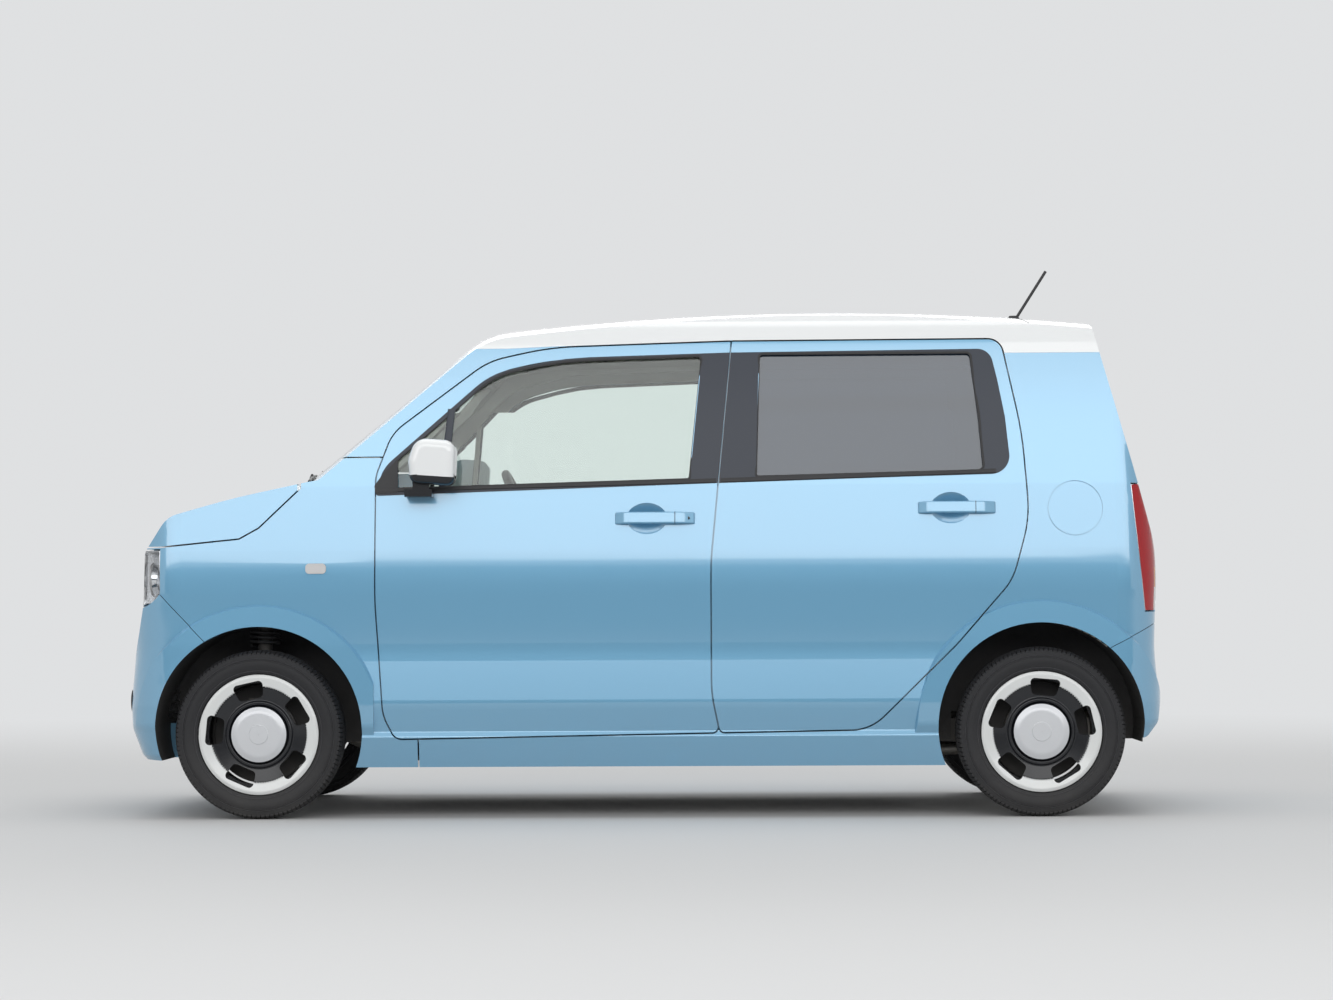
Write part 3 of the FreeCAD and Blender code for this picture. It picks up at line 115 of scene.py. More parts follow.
def outline(rows):
    """Points round a closed side-view outline whose corners are arcs."""
    points = []
    count = len(rows)
    for index, (x, z, radius) in enumerate(rows):
        corner = Vector((x, z))
        before = (Vector(rows[index - 1][:2]) - corner).normalized()
        after = (Vector(rows[(index + 1) % count][:2]) - corner).normalized()
        angle = before.angle(after)
        if radius <= 0 or math.pi - angle < 1e-3:
            points.append(corner)
            continue
        reach = radius / math.tan(angle / 2)
        centre = corner + (before + after).normalized() * (radius / math.sin(angle / 2))
        start = corner + before * reach - centre
        turn = math.pi - angle
        side = math.copysign(1, before.x * after.y - before.y * after.x)
        steps = max(2, math.ceil(turn / ARC_STEP))
        for part in range(steps + 1):
            swing = Matrix.Rotation(-side * turn * part / steps, 2)
            points.append(centre + swing @ start)
    return points


def tree_of(*names):
    """A search tree over the meshes of some CAD nodes."""
    verts = []
    faces = []
    for name in names:
        mesh = NODES[name].data
        first = len(verts)
        verts += [v.co.copy() for v in mesh.vertices]
        faces += [[first + v for v in p.vertices] for p in mesh.polygons]
    return BVHTree.FromPolygons(verts, faces)


REAR_DOOR_TREE = tree_of("rear_door_left", "roof_panel")


def flank_y(z):
    """How far out the left flank is at a height."""
    hit = REAR_DOOR_TREE.ray_cast(Vector((FLANK_X, 1.2, z)), Vector((0, -1, 0)))[0]
    if hit is None:
        raise RuntimeError("the rear door's skin is missed at height %.3f" % z)
    return hit.y


def finish_piece(name, body, bm, materials, side=1):
    """Turns a left-hand bmesh into a piece that rides on a body, mirrored if asked."""
    if side < 0:
        bmesh.ops.scale(bm, vec=(1, -1, 1), verts=bm.verts)
        bmesh.ops.reverse_faces(bm, faces=bm.faces)
    mesh = bpy.data.meshes.new(name)
    bm.to_mesh(mesh)
    bm.free()
    for material in [materials] if isinstance(materials, str) else materials:
        mesh.materials.append(MATERIALS[material])
    mesh.shade_smooth()
    mesh.set_sharp_from_angle(angle=SMOOTH_UP_TO)
    obj = bpy.data.objects.new(name, mesh)
    bpy.context.scene.collection.objects.link(obj)
    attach(obj, body)
    return obj


def finish_solid(name, body, bm, materials, side=1):
    """Finishes a piece of closed forms, its faces turned outwards first."""
    bmesh.ops.recalc_face_normals(bm, faces=bm.faces)
    return finish_piece(name, body, bm, materials, side)


def cut_level(bm, place, normal, **options):
    """Cuts all of a bmesh along a plane."""
    everything = bm.verts[:] + bm.edges[:] + bm.faces[:]
    return bmesh.ops.bisect_plane(bm, geom=everything, plane_co=place, plane_no=normal, **options)


def moulding(path, section, closed):
    """A strip whose section (across, out) follows a side-view path on the flank."""
    bm = bmesh.new()
    rings = []
    count = len(path)
    for index, point in enumerate(path):
        before = path[index - 1] if closed or index else point
        after = path[(index + 1) % count] if closed or index < count - 1 else point
        along = (after - before).normalized()
        across = Vector((-along.y, along.x))
        ring = []
        for offset, out in section:
            at = point + across * offset
            ring.append(bm.verts.new((at.x, flank_y(at.y) + out, at.y)))
        rings.append(ring)
    spans = count if closed else count - 1
    for index in range(spans):
        one = rings[index]
        two = rings[(index + 1) % count]
        for k in range(len(section)):
            n = (k + 1) % len(section)
            bm.faces.new((one[k], two[k], two[n], one[n]))
    if not closed:
        bm.faces.new(rings[0])
        bm.faces.new(list(reversed(rings[-1])))
    bmesh.ops.recalc_face_normals(bm, faces=bm.faces)
    return bm


def skin_panel(points, proud, thickness, hole=None):
    """A thin panel of a side-view outline laid over the flank."""
    bm = bmesh.new()
    loops = [points] + ([hole] if hole else [])
    edges = []
    for loop in loops:
        verts = [bm.verts.new((p.x, 0, p.y)) for p in loop]
        edges += [bm.edges.new((verts[i - 1], verts[i])) for i in range(len(verts))]
    bmesh.ops.triangle_fill(bm, use_beauty=True, edges=edges)
    low = min(p.y for p in points)
    high = max(p.y for p in points)
    steps = math.ceil((high - low) / FLANK_BAND)
    for index in range(1, steps):
        level = low + (high - low) * index / steps
        cut_level(bm, (0, 0, level), (0, 0, 1))
    for vert in bm.verts:
        vert.co.y = flank_y(vert.co.z) + proud
    for face in bm.faces:
        face.normal_update()
        if face.normal.y < 0:
            face.normal_flip()
    bmesh.ops.solidify(bm, geom=bm.faces[:], thickness=thickness)
    bmesh.ops.recalc_face_normals(bm, faces=bm.faces)
    return bm


def hit(tree, start, way):
    """Where a ray from a point first meets a search tree."""
    point = tree.ray_cast(Vector(start), Vector(way))[0]
    if point is None:
        raise RuntimeError("nothing is met from %s towards %s" % (tuple(start), tuple(way)))
    return point


def aim(at, way):
    """A placing whose local Z axis points along a direction."""
    return Matrix.Translation(Vector(at)) @ Vector(way).to_track_quat("Z", "Y").to_matrix().to_4x4()


def add_lathe(bm, rows, placing, steps=48):
    """Turns (radius, height) rows about the placing's Z axis."""
    rings = []
    for part in range(steps):
        turn = 2 * math.pi * part / steps
        swing = Vector((math.cos(turn), math.sin(turn), 0))
        ring = [placing @ (swing * radius + Vector((0, 0, height))) for radius, height in rows]
        rings.append([bm.verts.new(at) for at in ring])
    count = len(rows)
    for part in range(steps):
        one = rings[part]
        two = rings[(part + 1) % steps]
        for k in range(count):
            n = (k + 1) % count
            bm.faces.new((one[k], two[k], two[n], one[n]))
    bmesh.ops.remove_doubles(bm, verts=[v for ring in rings for v in ring], dist=1e-5)


def add_block(bm, low, high, bevel=0.0, segments=2):
    """A box between two corners, its edges rounded if asked."""
    low = Vector(low)
    high = Vector(high)
    size = high - low
    placing = Matrix.Translation((low + high) / 2) @ Matrix.Diagonal((*size, 1))
    made = bmesh.ops.create_cube(bm, size=1.0, matrix=placing)["verts"]
    if bevel:
        edges = list({edge for vert in made for edge in vert.link_edges})
        bmesh.ops.bevel(bm, geom=edges, offset=bevel, segments=segments, profile=0.5, affect="EDGES")


def add_slab(bm, points, near, far):
    """A prism over outline points; near and far turn an outline point into its place."""
    one = [bm.verts.new(near(p)) for p in points]
    two = [bm.verts.new(far(p)) for p in points]
    bm.faces.new(one)
    bm.faces.new(two[::-1])
    for index in range(len(points)):
        bm.faces.new((one[index - 1], two[index - 1], two[index], one[index]))


def add_bar(bm, points, radius, sides=10):
    """A round bar through points, closed at both ends."""
    points = [Vector(p) for p in points]
    rings = []
    for index, point in enumerate(points):
        before = points[max(index - 1, 0)]
        after = points[min(index + 1, len(points) - 1)]
        placing = aim(point, after - before)
        turns = [2 * math.pi * k / sides for k in range(sides)]
        ring = [placing @ Vector((radius * math.cos(t), radius * math.sin(t), 0)) for t in turns]
        rings.append([bm.verts.new(at) for at in ring])
    for one, two in zip(rings, rings[1:]):

        def twist(s):
            return sum((two[(k + s) % sides].co - one[k].co).length for k in range(sides))
        shift = min(range(sides), key=twist)
        for k in range(sides):
            n = (k + 1) % sides
            bm.faces.new((one[k], one[n], two[(n + shift) % sides], two[(k + shift) % sides]))
        two[:] = two[shift:] + two[:shift]
    bm.faces.new(rings[0][::-1])
    bm.faces.new(rings[-1])


def from_above(tree, x, y):
    return hit(tree, (x, y, 1.9), (0, 0, -1))


def from_behind(tree, y, z):
    return hit(tree, (-2.0, y, z), (1, 0, 0))


def part_of(node, keep=None):
    """A bmesh copy of a CAD node, with only the faces that the test keeps."""
    bm = bmesh.new()
    bm.from_mesh(NODES[node].data)
    bmesh.ops.remove_doubles(bm, verts=bm.verts, dist=1e-6)
    if keep:
        drop = [face for face in bm.faces if not keep(face.calc_center_median(), face.normal)]
        bmesh.ops.delete(bm, geom=drop, context="FACES")
    return bm


def slice_of(node, x0, x1, grow):
    """The stretch of a CAD node between two places along the car, made slightly thicker."""
    bm = part_of(node)
    for place, way in ((x0, -1), (x1, 1)):
        cut = cut_level(bm, (place, 0, 0), (way, 0, 0), clear_outer=True)
        bmesh.ops.holes_fill(bm, edges=[e for e in cut["geom_cut"] if isinstance(e, bmesh.types.BMEdge)])
    bm.normal_update()
    for vert in bm.verts:
        vert.co += vert.normal * grow
    return bm


def join(tree, *rows):
    """Links sockets of a node tree: from node, its socket, to node, its socket."""
    for one, out, two, into in rows:
        tree.links.new(one.outputs[out], two.inputs[into])


def math_node(tree, operation):
    node = tree.nodes.new("ShaderNodeMath")
    node.operation = operation
    return node


# Geometry Nodes trees

TREES = {}


def new_tree(name, inputs):
    """An empty modifier tree with its sockets, and the nodes at its two ends."""
    tree = bpy.data.node_groups.new(name, "GeometryNodeTree")
    tree.is_modifier = True
    tree.interface.new_socket(name="Geometry", in_out="INPUT", socket_type="NodeSocketGeometry")
    tree.interface.new_socket(name="Geometry", in_out="OUTPUT", socket_type="NodeSocketGeometry")
    for label, kind in inputs:
        tree.interface.new_socket(name=label, in_out="INPUT", socket_type=kind)
    tree.interface.new_socket(name="Material", in_out="INPUT", socket_type="NodeSocketMaterial")
    start = tree.nodes.new("NodeGroupInput")
    end = tree.nodes.new("NodeGroupOutput")
    paint = tree.nodes.new("GeometryNodeSetMaterial")
    join(tree, (start, "Material", paint, "Material"), (paint, "Geometry", end, "Geometry"))
    TREES[name] = tree
    return tree, start, paint


def array_tree(name, inputs):
    """A tree that sets copies of the seed on the points of a line, still without its places."""
    tree, start, paint = new_tree(name, [("Copies", "NodeSocketInt")] + inputs)
    line = tree.nodes.new("GeometryNodeMeshLine")
    spread = tree.nodes.new("GeometryNodeInstanceOnPoints")
    real = tree.nodes.new("GeometryNodeRealizeInstances")
    join(tree, (start, "Copies", line, "Count"), (line, "Mesh", spread, "Points"),
         (start, "Geometry", spread, "Instance"), (spread, "Instances", real, "Geometry"),
         (real, "Geometry", paint, "Geometry"))
    return tree, start, line, spread


def turned_array_tree():
    """Copies of the seed turned about the Y axis through a centre."""
    inputs = [("Centre", "NodeSocketVector"), ("Step angle", "NodeSocketFloat")]
    tree, start, line, spread = array_tree("Turned array", inputs)
    line.inputs["Offset"].default_value = (0, 0, 0)
    number = tree.nodes.new("GeometryNodeInputIndex")
    angle = math_node(tree, "MULTIPLY")
    turn = tree.nodes.new("ShaderNodeCombineXYZ")
    join(tree, (start, "Centre", line, "Start Location"), (number, "Index", angle, 0),
         (start, "Step angle", angle, 1), (angle, "Value", turn, "Y"),
         (turn, "Vector", spread, "Rotation"))


def row_array_tree():
    """Copies of the seed in a straight row."""
    inputs = [("Start", "NodeSocketVector"), ("Step", "NodeSocketVector")]
    tree, start, line = array_tree("Row array", inputs)[:3]
    join(tree, (start, "Start", line, "Start Location"), (start, "Step", line, "Offset"))


def coil_tree():
    """An upright coil spring."""
    inputs = [("Turns", "NodeSocketFloat"), ("Radius", "NodeSocketFloat"), ("Height", "NodeSocketFloat"),
              ("Wire", "NodeSocketFloat"), ("Foot", "NodeSocketVector")]
    tree, start, paint = new_tree("Coil spring", inputs)
    spiral = tree.nodes.new("GeometryNodeCurveSpiral")
    spiral.inputs["Resolution"].default_value = 28
    circle = tree.nodes.new("GeometryNodeCurvePrimitiveCircle")
    circle.inputs["Resolution"].default_value = 10
    wire = tree.nodes.new("GeometryNodeCurveToMesh")
    wire.inputs["Fill Caps"].default_value = True
    move = tree.nodes.new("GeometryNodeTransform")
    real = tree.nodes.new("GeometryNodeRealizeInstances")
    join(tree, (start, "Turns", spiral, "Rotations"), (start, "Radius", spiral, "Start Radius"),
         (start, "Radius", spiral, "End Radius"), (start, "Height", spiral, "Height"),
         (start, "Wire", circle, "Radius"), (spiral, "Curve", wire, "Curve"),
         (circle, "Curve", wire, "Profile Curve"), (wire, "Mesh", move, "Geometry"),
         (start, "Foot", move, "Translation"), (move, "Geometry", real, "Geometry"),
         (real, "Geometry", paint, "Geometry"))


def grown(tree_name, name, body, seed, material, values, side=1):
    """Runs a tree on a seed bmesh and keeps its result as a plain piece on a body."""
    mesh = bpy.data.meshes.new(name)
    if seed:
        seed.to_mesh(mesh)
        seed.free()
    source = bpy.data.objects.new(name + "_seed", mesh)
    bpy.context.scene.collection.objects.link(source)
    modifier = source.modifiers.new("Nodes", "NODES")
    tree = TREES[tree_name]
    modifier.node_group = tree
    values = dict(values, Material=MATERIALS[material])
    for item in tree.interface.items_tree:
        if item.in_out == "INPUT" and item.name in values:
            modifier[item.identifier] = values[item.name]
    graph = bpy.context.evaluated_depsgraph_get()
    made = bpy.data.meshes.new_from_object(source.evaluated_get(graph))
    source.modifiers.remove(modifier)
    bpy.data.objects.remove(source)
    bm = bmesh.new()
    bm.from_mesh(made)
    bpy.data.meshes.remove(made)
    finish_piece(name, body, bm, material, side)


# Materials

def new_group(name, inputs, outputs):
    """An empty shader node group with its sockets: (name, type, default)."""
    group = bpy.data.node_groups.new(name, "ShaderNodeTree")
    for label, kind, default in inputs:
        socket = group.interface.new_socket(name=label, in_out="INPUT", socket_type=kind)
        socket.default_value = default
    for label, kind in outputs:
        group.interface.new_socket(name=label, in_out="OUTPUT", socket_type=kind)
    start = group.nodes.new("NodeGroupInput")
    end = group.nodes.new("NodeGroupOutput")
    return group, start, end


def grain_group():
    """Fine surface grain: a value for roughness and a bumped normal."""
    inputs = [("Scale", "NodeSocketFloat", 200.0), ("Depth", "NodeSocketFloat", 0.1),
              ("Low", "NodeSocketFloat", 0.3), ("High", "NodeSocketFloat", 0.5)]
    outputs = [("Roughness", "NodeSocketFloat"), ("Normal", "NodeSocketVector")]
    group, start, end = new_group("Surface grain", inputs, outputs)
    nodes = group.nodes
    where = nodes.new("ShaderNodeTexCoord")
    noise = nodes.new("ShaderNodeTexNoise")
    noise.inputs["Detail"].default_value = 4.0
    spread = nodes.new("ShaderNodeMapRange")
    bump = nodes.new("ShaderNodeBump")
    bump.inputs["Distance"].default_value = 0.001
    join(group, (where, "Object", noise, "Vector"), (start, "Scale", noise, "Scale"),
         (noise, "Fac", spread, "Value"), (start, "Low", spread, "To Min"),
         (start, "High", spread, "To Max"), (noise, "Fac", bump, "Height"),
         (start, "Depth", bump, "Strength"), (spread, "Result", end, "Roughness"),
         (bump, "Normal", end, "Normal"))
    return group


def dust_group():
    """Road dust that fades out upwards from the ground."""
    inputs = [("Colour", "NodeSocketColor", (0.5, 0.5, 0.5, 1)),
              ("Dust", "NodeSocketColor", (0.32, 0.30, 0.27, 1)),
              ("Top", "NodeSocketFloat", 0.5), ("Amount", "NodeSocketFloat", 0.2)]
    outputs = [("Colour", "NodeSocketColor"), ("Mask", "NodeSocketFloat")]
    group, start, end = new_group("Road dust", inputs, outputs)
    nodes = group.nodes
    where = nodes.new("ShaderNodeTexCoord")
    split = nodes.new("ShaderNodeSeparateXYZ")
    fade = nodes.new("ShaderNodeMapRange")
    fade.inputs["To Min"].default_value = 1.0
    fade.inputs["To Max"].default_value = 0.0
    noise = nodes.new("ShaderNodeTexNoise")
    noise.inputs["Scale"].default_value = 9.0
    noise.inputs["Detail"].default_value = 6.0
    patch = math_node(group, "MULTIPLY")
    mask = math_node(group, "MULTIPLY")
    mix = nodes.new("ShaderNodeMix")
    mix.data_type = "RGBA"
    join(group, (where, "Object", split, "Vector"), (where, "Object", noise, "Vector"),
         (split, "Z", fade, "Value"), (start, "Top", fade, "From Max"), (fade, "Result", patch, 0),
         (noise, "Fac", patch, 1), (patch, "Value", mask, 0), (start, "Amount", mask, 1),
         (mask, "Value", mix, "Factor"), (start, "Colour", mix, 6), (start, "Dust", mix, 7),
         (mix, 2, end, "Colour"), (mask, "Value", end, "Mask"))
    return group


GROUPS = {}
MATERIALS = {}
# How high dust reaches on glass and lenses, and how much of it there is
GLASS_DUST = (1.2, 0.02)


def group_node(material, name, **values):
    node = material.node_tree.nodes.new("ShaderNodeGroup")
    node.node_tree = GROUPS[name]
    for label, value in values.items():
        node.inputs[label].default_value = value
    return node


def new_material(name):
    """A material and its shader node."""
    material = bpy.data.materials.new(name)
    material.use_nodes = True
    MATERIALS[name] = material
    return material, material.node_tree.nodes["Principled BSDF"]


def finish(name, colour, roughness=(0.3, 0.4), grain=(300.0, 0.05), dust=(0.5, 0.0), metallic=0.0,
           coat=0.0, coat_roughness=0.03):
    """A solid finish: colour with dust low down, grained roughness, and a clear coat if any."""
    material, shader = new_material(name)
    surface = group_node(material, "Surface grain", Scale=grain[0], Depth=grain[1], Low=roughness[0],
                         High=roughness[1])
    dirt = group_node(material, "Road dust", Colour=(*colour, 1), Top=dust[0], Amount=dust[1])
    join(material.node_tree, (dirt, "Colour", shader, "Base Color"),
         (surface, "Roughness", shader, "Roughness"), (surface, "Normal", shader, "Normal"))
    shader.inputs["Metallic"].default_value = metallic
    shader.inputs["Coat Weight"].default_value = coat
    shader.inputs["Coat Roughness"].default_value = coat_roughness
    return shader


def pane(name, colour, transmission, roughness=0.0, ior=1.45):
    """Glass or a clear lens."""
    material, shader = new_material(name)
    top, amount = GLASS_DUST
    dirt = group_node(material, "Road dust", Colour=(*colour, 1), Top=top, Amount=amount)
    join(material.node_tree, (dirt, "Colour", shader, "Base Color"))
    shader.inputs["Roughness"].default_value = roughness
    shader.inputs["IOR"].default_value = ior
    shader.inputs["Transmission Weight"].default_value = transmission


def make_materials():
    look = bpy.context.scene.kei_car_finish
    GROUPS["Surface grain"] = grain_group()
    GROUPS["Road dust"] = dust_group()
    fine = (900.0, 0.02)
    paint = finish("Body paint", look.body_colour, (0.30, 0.38), fine, (0.45, 0.16), 0.35, 1.0, 0.07)
    paint.inputs["Coat IOR"].default_value = look.coat_ior
    finish("Roof paint", look.roof_colour, (0.30, 0.40), fine, (0.45, 0.0), 0.0, 1.0, 0.02)
    finish("Black satin trim", (0.016, 0.022, 0.036), (0.40, 0.52), (1500.0, 0.08), (0.4, 0.06),
           coat=0.10, coat_roughness=0.2)
    finish("Black plastic", (0.018, 0.018, 0.020), (0.42, 0.6), (1400.0, 0.25), (0.4, 0.3))
    finish("Window rubber", (0.012, 0.012, 0.014), (0.45, 0.6), (900.0, 0.1))
    finish("Gloss black", (0.007, 0.008, 0.011), (0.16, 0.26), (700.0, 0.03), (0.4, 0.05), 0.0, 0.15, 0.05)
    finish("Wheel white", look.wheel_colour, (0.28, 0.38), fine, (0.4, 0.12), 0.0, 0.6, 0.06)
    finish("Cap silver", (0.62, 0.63, 0.65), (0.32, 0.42), (1200.0, 0.03), (0.4, 0.1), 0.25, 0.5, 0.1)
    finish("Tyre rubber", (0.014, 0.014, 0.016), (0.62, 0.85), (260.0, 0.35), (0.3, 0.12))
    finish("Underbody black", (0.022, 0.022, 0.024), (0.6, 0.85), (220.0, 0.5), (0.6, 0.5))
    finish("Cast iron", (0.09, 0.085, 0.08), (0.5, 0.75), (260.0, 0.6), (0.6, 0.4), 0.5)
    finish("Raw alloy", (0.50, 0.51, 0.52), (0.4, 0.6), (260.0, 0.4), (0.6, 0.3), 0.9)
    finish("Exhaust steel", (0.38, 0.36, 0.33), (0.35, 0.6), (120.0, 0.3), (0.6, 0.35), 0.9)
    finish("Bright metal", (0.80, 0.81, 0.82), (0.06, 0.14), (600.0, 0.02), metallic=1.0)
    finish(CREAM, (0.60, 0.585, 0.53), (0.5, 0.62), (1300.0, 0.15))
    finish("Headlining", (0.64, 0.625, 0.58), (0.85, 0.95), (1600.0, 0.5))
    finish(DARK, (0.045, 0.045, 0.048), (0.45, 0.6), (1300.0, 0.3))
    finish("Carpet", (0.05, 0.048, 0.045), (0.9, 1.0), (2200.0, 1.0))
    finish("Seat fabric", (0.36, 0.33, 0.29), (0.85, 0.95), (2600.0, 0.6))
    finish("Tyre line", (0.034, 0.034, 0.038), (0.30, 0.40), (600.0, 0.1), (0.3, 0.14))
    finish("Brushed disc", (0.20, 0.20, 0.21), (0.35, 0.50), (900.0, 0.1), (0.4, 0.15), 1.0)
    finish("Mirror silver", (0.86, 0.87, 0.88), (0.01, 0.03), (600.0, 0.0), metallic=1.0)
    finish("Plate white", (0.74, 0.75, 0.73), (0.35, 0.45), (600.0, 0.03), (0.4, 0.05), 0.0, 0.3, 0.1)
    finish("Lamp housing", (0.62, 0.63, 0.65), (0.12, 0.22), (600.0, 0.02), metallic=0.85)
    pane("Clear glass", (0.86, 0.93, 0.90), 1.0)
    pane("Privacy glass", (0.055, 0.090, 0.140), 0.70, 0.0, 1.75)
    pane("Clear lens", (0.96, 0.97, 0.98), 1.0)
    pane("Red lens", (0.55, 0.012, 0.020), 0.35, 0.04)
    pane("Milky lens", (0.88, 0.86, 0.85), 0.35, 0.08)
    pane("Amber lens", (0.80, 0.26, 0.04), 0.35, 0.05)


def dress(name, *choices):
    """Gives a CAD node its finishes: a default, then (material, test of face centre and normal)."""
    mesh = NODES[name].data
    mesh.materials.clear()
    mesh.materials.append(MATERIALS[choices[0]])
    for index, (material, test) in enumerate(choices[1:], 1):
        mesh.materials.append(MATERIALS[material])
        for polygon in mesh.polygons:
            if test(polygon.center, polygon.normal):
                polygon.material_index = index


INNER_DEPTH = 0.020
BELT_HEIGHT = 1.050


def window_reveal(centre, normal):
    """Whether a face of a door belongs to the dark edges round its window."""
    return centre.z > BELT_HEIGHT and normal.y * centre.y < 0.3 and abs(normal.y) < 0.6


def inside_flank(centre, normal):
    """Whether a face of a side panel looks into the cabin."""
    if centre.z > 1.58 or centre.z < 0.17:
        return False
    skin = flank_y(min(max(centre.z, 0.30), 1.53))
    return abs(centre.y) < skin - INNER_DEPTH and normal.y * centre.y < 0.02


BUMPER_INSIDE = 0.35
BUMPER_HALF = 0.72
MIRROR_BLACK_UP_TO = 1.105
PLAIN_FINISHES = {
    "Body paint": ("front_fenders", "bonnet", "fuel_lid", "front_handle_left", "front_handle_right",
                   "rear_handle_left", "rear_handle_right"),
    "Clear glass": ("front_glass_left", "front_glass_right", "windscreen"),
    "Privacy glass": ("rear_glass_left", "rear_glass_right", "tailgate_glass"),
    "Milky lens": ("turn_markers",),
    "Black plastic": ("grille", "cowl", "aerial"),
    DARK: ("dashboard", "steering_column", "steering_wheel"),
    "Underbody black": ("front_frame", "wheel_liners_front", "wheel_liners_rear", "fuel_tank"),
    "Cast iron": ("knuckle_left", "knuckle_right", "front_subframe", "rear_axle"),
    "Raw alloy": ("engine_block", "radiator"),
    "Exhaust steel": ("exhaust",),
}


class KEICAR_OT_body(bpy.types.Operator):
    """Paint the panels and finish every other CAD node"""
    bl_idname = "keicar.body"
    bl_label = "Body and running gear finishes"

    def execute(self, context):
        for material, names in PLAIN_FINISHES.items():
            for name in names:
                dress(name, material)
        for end, way in (("front", 1), ("rear", -1)):

            def inner(c, n, way=way):
                return n.x * way < -BUMPER_INSIDE and abs(c.y) < BUMPER_HALF
            dress(end + "_bumper", "Body paint", ("Underbody black", inner))
        inside = (CREAM, inside_flank)
        dress("body_sides", "Body paint", inside)
        dress("tailgate", "Body paint", (DARK, lambda c, n: n.x > 0.3))
        dress("roof_panel", "Roof paint", ("Headlining", lambda c, n: n.z < -0.3))
        dress("floor_pan", "Underbody black", ("Carpet", lambda c, n: n.z > 0.5 or n.x < -0.5 and c.x > 0.8))
        for side in ("left", "right"):
            for end in ("front", "rear"):
                dress(end + "_door_" + side, "Body paint", inside, ("Window rubber", window_reveal))
            dress("mirror_" + side, "Roof paint", ("Gloss black", lambda c, n: c.z < MIRROR_BLACK_UP_TO))
        return {"FINISHED"}


# Rim faces: the outer ring from this radius, the cap up to this one, and how far out from the middle
RING_FROM = 0.1545
RING_OUT = 0.05
CAP_UP_TO = 0.0925
CAP_OUT = 0.056


def wheel_radius(centre, middle):
    return math.hypot(centre.x - middle.x, centre.z - middle.z)


class KEICAR_OT_wheels(bpy.types.Operator):
    """Finish the wheels: pale outer ring and cap on a black disc"""
    bl_idname = "keicar.wheels"
    bl_label = "Wheels"

    def execute(self, context):
        for end in ("front", "rear"):
            for side, sign in SIDES:
                name = "rim_" + end + "_" + side
                low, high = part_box(name)
                middle = (low + high) / 2

                def ring(c, n, middle=middle, sign=sign):
                    out = (c.y - middle.y) * sign
                    return wheel_radius(c, middle) > RING_FROM and out > RING_OUT and n.y * sign > 0.2

                def cap(c, n, middle=middle, sign=sign):
                    return wheel_radius(c, middle) < CAP_UP_TO and (c.y - middle.y) * sign > CAP_OUT
                dress(name, "Gloss black", ("Wheel white", ring), ("Cap silver", cap))
        return {"FINISHED"}


# Sections of mouldings: across, out
RUBBER = [(-0.004, -0.004), (-0.004, 0.0012), (-0.002, 0.0022), (0.002, 0.0022), (0.004, 0.0012),
          (0.004, -0.004)]
BELT = [(-0.0075, -0.003), (-0.0075, 0.002), (-0.004, 0.0045), (0.004, 0.0045), (0.0075, 0.002),
        (0.0075, -0.003)]
BAR = [(-0.012, -0.012), (-0.012, 0.001), (-0.009, 0.003), (0.009, 0.003), (0.012, 0.001),
       (0.012, -0.012)]
SURROUND_PROUD = 0.0014
SURROUND_THICK = 0.0020
# The surround's points under this height are its belt edge
BELT_BELOW = 1.108
BELT_LAP = 0.006
SPANS = 12
WINDOWS = (("front", FRONT_SURROUND, FRONT_PANE), ("rear", REAR_SURROUND, REAR_PANE))


class KEICAR_OT_window_trim(bpy.types.Operator):
    """Dark panels round the side windows, their rubbers and belt mouldings"""
    bl_idname = "keicar.window_trim"
    bl_label = "Window trim"

    def execute(self, context):
        for side, sign in SIDES:
            for end, surround, glass in WINDOWS:
                body = end + "_door_" + side
                around = outline(surround)
                within = outline(glass)
                bm = skin_panel(around, SURROUND_PROUD, SURROUND_THICK, within)
                finish_piece(end + "_surround_" + side, body, bm, "Black satin trim", sign)
                bm = moulding(within, RUBBER, True)
                finish_piece(end + "_rubber_" + side, body, bm, "Window rubber", sign)
                ends = [p for p in around if p.y < BELT_BELOW]
                ends.sort(key=lambda p: -p.x)
                first = ends[0]
                last = ends[-1]
                rise = (last.y - first.y) / (last.x - first.x)
                path = []
                for index in range(SPANS + 1):
                    x = first.x - BELT_LAP + (last.x + 2 * BELT_LAP - first.x) * index / SPANS
                    path.append(Vector((x, first.y + rise * (x - first.x) + BELT_LAP)))
                bm = moulding(path, BELT, False)
                finish_piece(end + "_belt_" + side, body, bm, "Black plastic", sign)
            top, bottom = (Vector(p) for p in QUARTER_BAR)
            path = [top.lerp(bottom, index / SPANS) for index in range(SPANS + 1)]
            bm = moulding(path, BAR, False)
            finish_piece("quarter_bar_" + side, "front_door_" + side, bm, "Black satin trim", sign)
        return {"FINISHED"}


AXLES = (("front", 1.2405), ("rear", -1.2795))
WHEEL_Y = 0.652
WHEEL_Z = 0.272
AXLE_FRONT = Vector((AXLES[0][1], WHEEL_Y, WHEEL_Z))
TYRE_STEPS = 120
PITCHES = 56
TREAD_DEPTH = 0.0085
SHOULDER_FROM = 0.06
GROOVE_FLOOR = 0.2655
